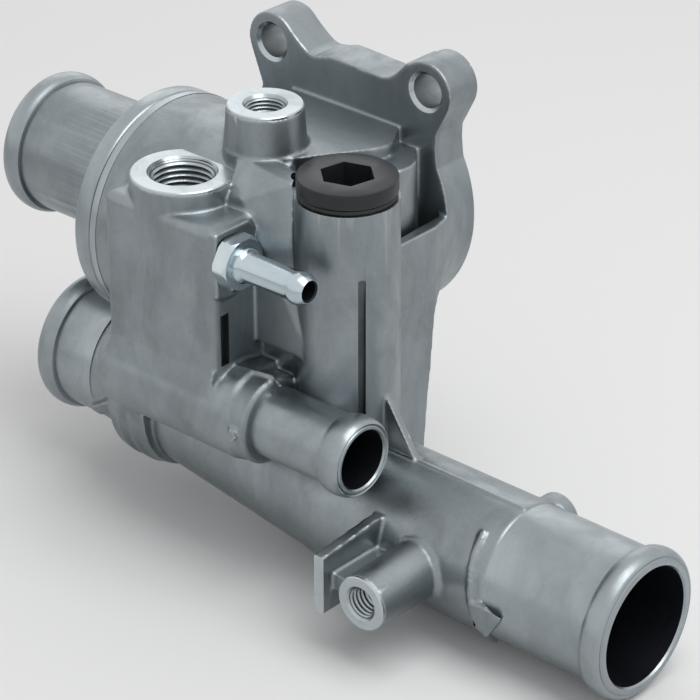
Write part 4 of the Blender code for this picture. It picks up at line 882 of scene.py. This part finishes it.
class HOUSING_OT_nipple(bpy.types.Operator):
    """Builds the plated bleed nipple: hexagon, tube, bead and bore"""
    bl_idname = "housing.nipple"
    bl_label = "Bleed nipple"

    def execute(self, context):
        foot, tip = 12.1, 37.1
        body = turned("nipple_body", "X", NIPPLE,
                      [(foot - 8.0, 3.2), (foot - 7.4, 3.8), (foot + 1.0, 3.8), (foot + 1.0, 4.5),
                       (foot + 5.0, 4.5),
                       (foot + 5.5, 4.3), (foot + 6.0, 3.75), (foot + 6.6, 3.6),
                       (tip - 5.0, 3.6), (tip - 4.4, 3.75), (tip - 3.8, 4.0), (tip - 2.9, 4.1),
                       (tip - 2.0, 4.0), (tip - 0.9, 3.55), (tip - 0.25, 3.1), (tip, 2.85)], 64)
        deselect()
        corner = 6.25 / math.cos(math.pi / 6) * MM
        bpy.ops.mesh.primitive_cylinder_add(vertices=6, radius=corner, depth=0.0042,
                                            location=point((foot + 2.1, *NIPPLE[1:])), rotation=TURN["X"])
        nut = settle(bpy.context.object, "nut")
        trim = turned("trim", "X", NIPPLE,
                      [(foot, 6.6), (foot + 0.5, 7.2), (foot + 3.5, 7.2), (foot + 4.2, 6.35)], 64)
        made_of(zinc_metal(), body, nut, trim)
        combine(nut, [trim], "INTERSECT")
        combine(body, [nut], "UNION")
        bore = turned("bore", "X", NIPPLE, [(foot - 9.0, 2.4), (tip - 0.4, 2.4), (tip + 0.6, 3.4)], 48)
        # Painted shade: the nipple's bore is near-black.
        made_of(bore_shade_metal(), bore)
        combine(body, [bore], "DIFFERENCE")
        dress(body, None, replaces=("bleed_nipple",), angle=28.0)
        return {"FINISHED"}


class HOUSING_OT_thermostat(bpy.types.Operator):
    """Builds the finer springs and gives the thermostat's stamped and turned parts their metals"""
    bl_idname = "housing.thermostat"
    bl_label = "Thermostat"

    def execute(self, context):
        steel = plain_metal("stamped_steel", (0.52, 0.52, 0.50), 0.30)
        brass = plain_metal("capsule_brass", (0.60, 0.43, 0.18), 0.30)
        wire = plain_metal("spring_wire", (0.35, 0.35, 0.36), 0.34)
        for node, mat in (("thermostat_frame", steel), ("support_frame", steel), ("piston_pin", steel),
                          ("bypass_disc", steel), ("wax_capsule", brass), ("cover_gasket", seal_rubber()),
                          ("flange_gasket", seal_rubber())):
            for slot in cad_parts[node].material_slots:
                slot.material = mat
        self.coil("main_coil", -29.6, -12.3, 12.5, 1.1, 4.0, wire, "housing", "main_spring")
        self.coil("bypass_coil", -8.2, -2.0, 4.8, 0.35, 3.0, wire, "valve", "bypass_spring")
        return {"FINISHED"}

    @staticmethod
    def coil(name, start, end, radius, wire, turns, mat, body, node):
        """A coil spring about the chamber's axis: a wire circle screwed along X."""
        deselect()
        bpy.ops.mesh.primitive_circle_add(vertices=16, radius=wire * MM, fill_type="NOTHING",
                                          location=(0.0, radius * MM, 0.0), rotation=(0.0, 0.0, 0.0))
        obj = bpy.context.object
        bpy.ops.object.transform_apply(location=True, rotation=True, scale=True)
        span = end - start - 2 * wire
        finish_with(obj, "SCREW", axis="X", angle=2 * math.pi * turns, screw_offset=span * MM,
                    steps=int(48 * turns), render_steps=int(48 * turns), use_merge_vertices=False,
                    use_normal_calculate=True)
        bpy.ops.object.mode_set(mode="EDIT")
        # The two open ends are closed one after the other, the low one first
        for side in (1, -1):
            bpy.ops.mesh.select_all(action="DESELECT")
            bpy.ops.mesh.select_non_manifold()
            bpy.ops.object.mode_set(mode="OBJECT")
            rim = [v for v in obj.data.vertices if v.select]
            limit = min(side * v.co.x for v in rim) + 2.2 * wire * MM
            for v in rim:
                v.select = side * v.co.x <= limit
            for edge in obj.data.edges:
                edge.select = all(obj.data.vertices[k].select for k in edge.vertices)
            bpy.ops.object.mode_set(mode="EDIT")
            bpy.ops.mesh.edge_face_add()
        bpy.ops.object.mode_set(mode="OBJECT")
        obj.data.transform(Matrix.Translation(point((start + wire, CHAMBER[1], CHAMBER[2]))))
        settle(obj, name)
        return dress(obj, mat, body, (node,), 60.0)


class HOUSING_OT_stage(bpy.types.Operator):
    """Builds the pale floor, the lamps, the white surroundings and the camera"""
    bl_idname = "housing.stage"
    bl_label = "Stage"

    def execute(self, context):
        scene = context.scene
        look = scene.stage_settings
        low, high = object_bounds()
        deselect()
        bpy.ops.mesh.primitive_plane_add(size=8.0, location=(0.0, 0.0, low.z - 0.0005))
        floor = bpy.context.object
        floor.name = "floor"
        mat = bpy.data.materials.new("floor_paint")
        mat.use_nodes = True
        shader = mat.node_tree.nodes["Principled BSDF"]
        shader.inputs["Base Color"].default_value = (*look.floor_colour, 1.0)
        shader.inputs["Roughness"].default_value = 0.9
        shader.inputs["Specular IOR Level"].default_value = 0.1
        floor.data.materials.append(mat)
        floor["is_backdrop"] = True

        centre = Vector((0.02, -0.04, -0.05))
        overhead = Vector((0.40, 0.0, 0.92)).normalized() * 0.8
        behind = Vector((-0.585, 0.657, 0.476)) * 0.9
        self.lamp("key_lamp", centre + overhead, centre, 0.55, 0.75, look.key)
        self.lamp("back_lamp", centre + behind, centre, 0.60, 0.60, look.back)
        self.surroundings(scene, look.world)
        self.camera(scene)
        scene.view_settings.view_transform = "Standard"
        return {"FINISHED"}

    @staticmethod
    def lamp(name, place, target, width, height, power):
        deselect()
        bpy.ops.object.light_add(type="AREA", location=place)
        lamp = bpy.context.object
        lamp.name = name
        lamp.rotation_euler = (target - place).to_track_quat("-Z", "Y").to_euler()
        lamp.data.shape = "RECTANGLE"
        lamp.data.size = width
        lamp.data.size_y = height
        lamp.data.energy = power

    @staticmethod
    def surroundings(scene, strength):
        """White to the camera, to gloss and to glass, and dimmer as a lamp."""
        world = bpy.data.worlds.new("surroundings")
        scene.world = world
        world.use_nodes = True
        tree = world.node_tree
        plain = tree.nodes["Background"]
        plain.inputs["Color"].default_value = (1.0, 1.0, 1.0, 1.0)
        plain.inputs["Strength"].default_value = strength
        seen = tree.nodes.new("ShaderNodeBackground")
        seen.inputs["Color"].default_value = (1.0, 1.0, 1.0, 1.0)
        path = tree.nodes.new("ShaderNodeLightPath")
        either = add(tree, path.outputs["Is Camera Ray"], path.outputs["Is Glossy Ray"],
                     path.outputs["Is Transmission Ray"], operation="MAXIMUM")
        mix = tree.nodes.new("ShaderNodeMixShader")
        tree.links.new(either, mix.inputs[0])
        tree.links.new(plain.outputs[0], mix.inputs[1])
        tree.links.new(seen.outputs[0], mix.inputs[2])
        tree.links.new(mix.outputs[0], tree.nodes["World Output"].inputs["Surface"])

    @staticmethod
    def camera(scene):
        deselect()
        bpy.ops.object.camera_add()
        camera = bpy.context.object
        camera.name = "photo_camera"
        right, up, back = (0.7466, 0.6652, 0.0), (-0.3164, 0.3551, 0.8796), (0.5851, -0.6568, 0.4756)
        place = (0.4546, -0.5194, 0.2973)
        rows = [[right[k], up[k], back[k], place[k]] for k in range(3)]
        camera.matrix_world = Matrix(rows + [[0, 0, 0, 1]])
        camera.data.sensor_width, camera.data.lens = 36.0, 154.3
        camera.data.clip_start = 0.01
        scene.camera = camera


class HOUSING_PT_panel(bpy.types.Panel):
    """Lists the sizes, the colours and the pieces"""
    bl_idname = "HOUSING_PT_panel"
    bl_label = "Thermostat housing"
    bl_space_type = "VIEW_3D"
    bl_region_type = "UI"
    bl_category = "Housing"

    def draw(self, context):
        scene, layout = context.scene, self.layout
        for settings, names in ((scene.casting_sizes, ("grain", "fillet_passes", "facets", "sides")),
                                (scene.metal_colours, ("cast", "cast_dark", "bore", "zinc", "plug")),
                                (scene.stage_settings, ("floor_colour", "key", "back", "world"))):
            for name in names:
                layout.prop(settings, name)
        for operator in PIECES:
            layout.operator(operator.bl_idname)


PIECES = (HOUSING_OT_casting, HOUSING_OT_spigots, HOUSING_OT_ports, HOUSING_OT_outlet, HOUSING_OT_plug,
          HOUSING_OT_nipple, HOUSING_OT_thermostat, HOUSING_OT_stage)
GROUPS = ((CastingSizes, "casting_sizes"), (MetalColours, "metal_colours"), (StageSettings, "stage_settings"))


def register():
    for group, name in GROUPS:
        bpy.utils.register_class(group)
        setattr(bpy.types.Scene, name, bpy.props.PointerProperty(type=group))
    for each in (*PIECES, HOUSING_PT_panel):
        bpy.utils.register_class(each)


def unregister():
    for each in reversed((*PIECES, HOUSING_PT_panel)):
        bpy.utils.unregister_class(each)
    for group, name in reversed(GROUPS):
        delattr(bpy.types.Scene, name)
        bpy.utils.unregister_class(group)


def main():
    register()
    bpy.ops.housing.casting()
    bpy.ops.housing.spigots()
    bpy.ops.housing.ports()
    bpy.ops.housing.outlet()
    bpy.ops.housing.plug()
    bpy.ops.housing.nipple()
    bpy.ops.housing.thermostat()
    bpy.ops.housing.stage()


if __name__ == "__main__":
    main()
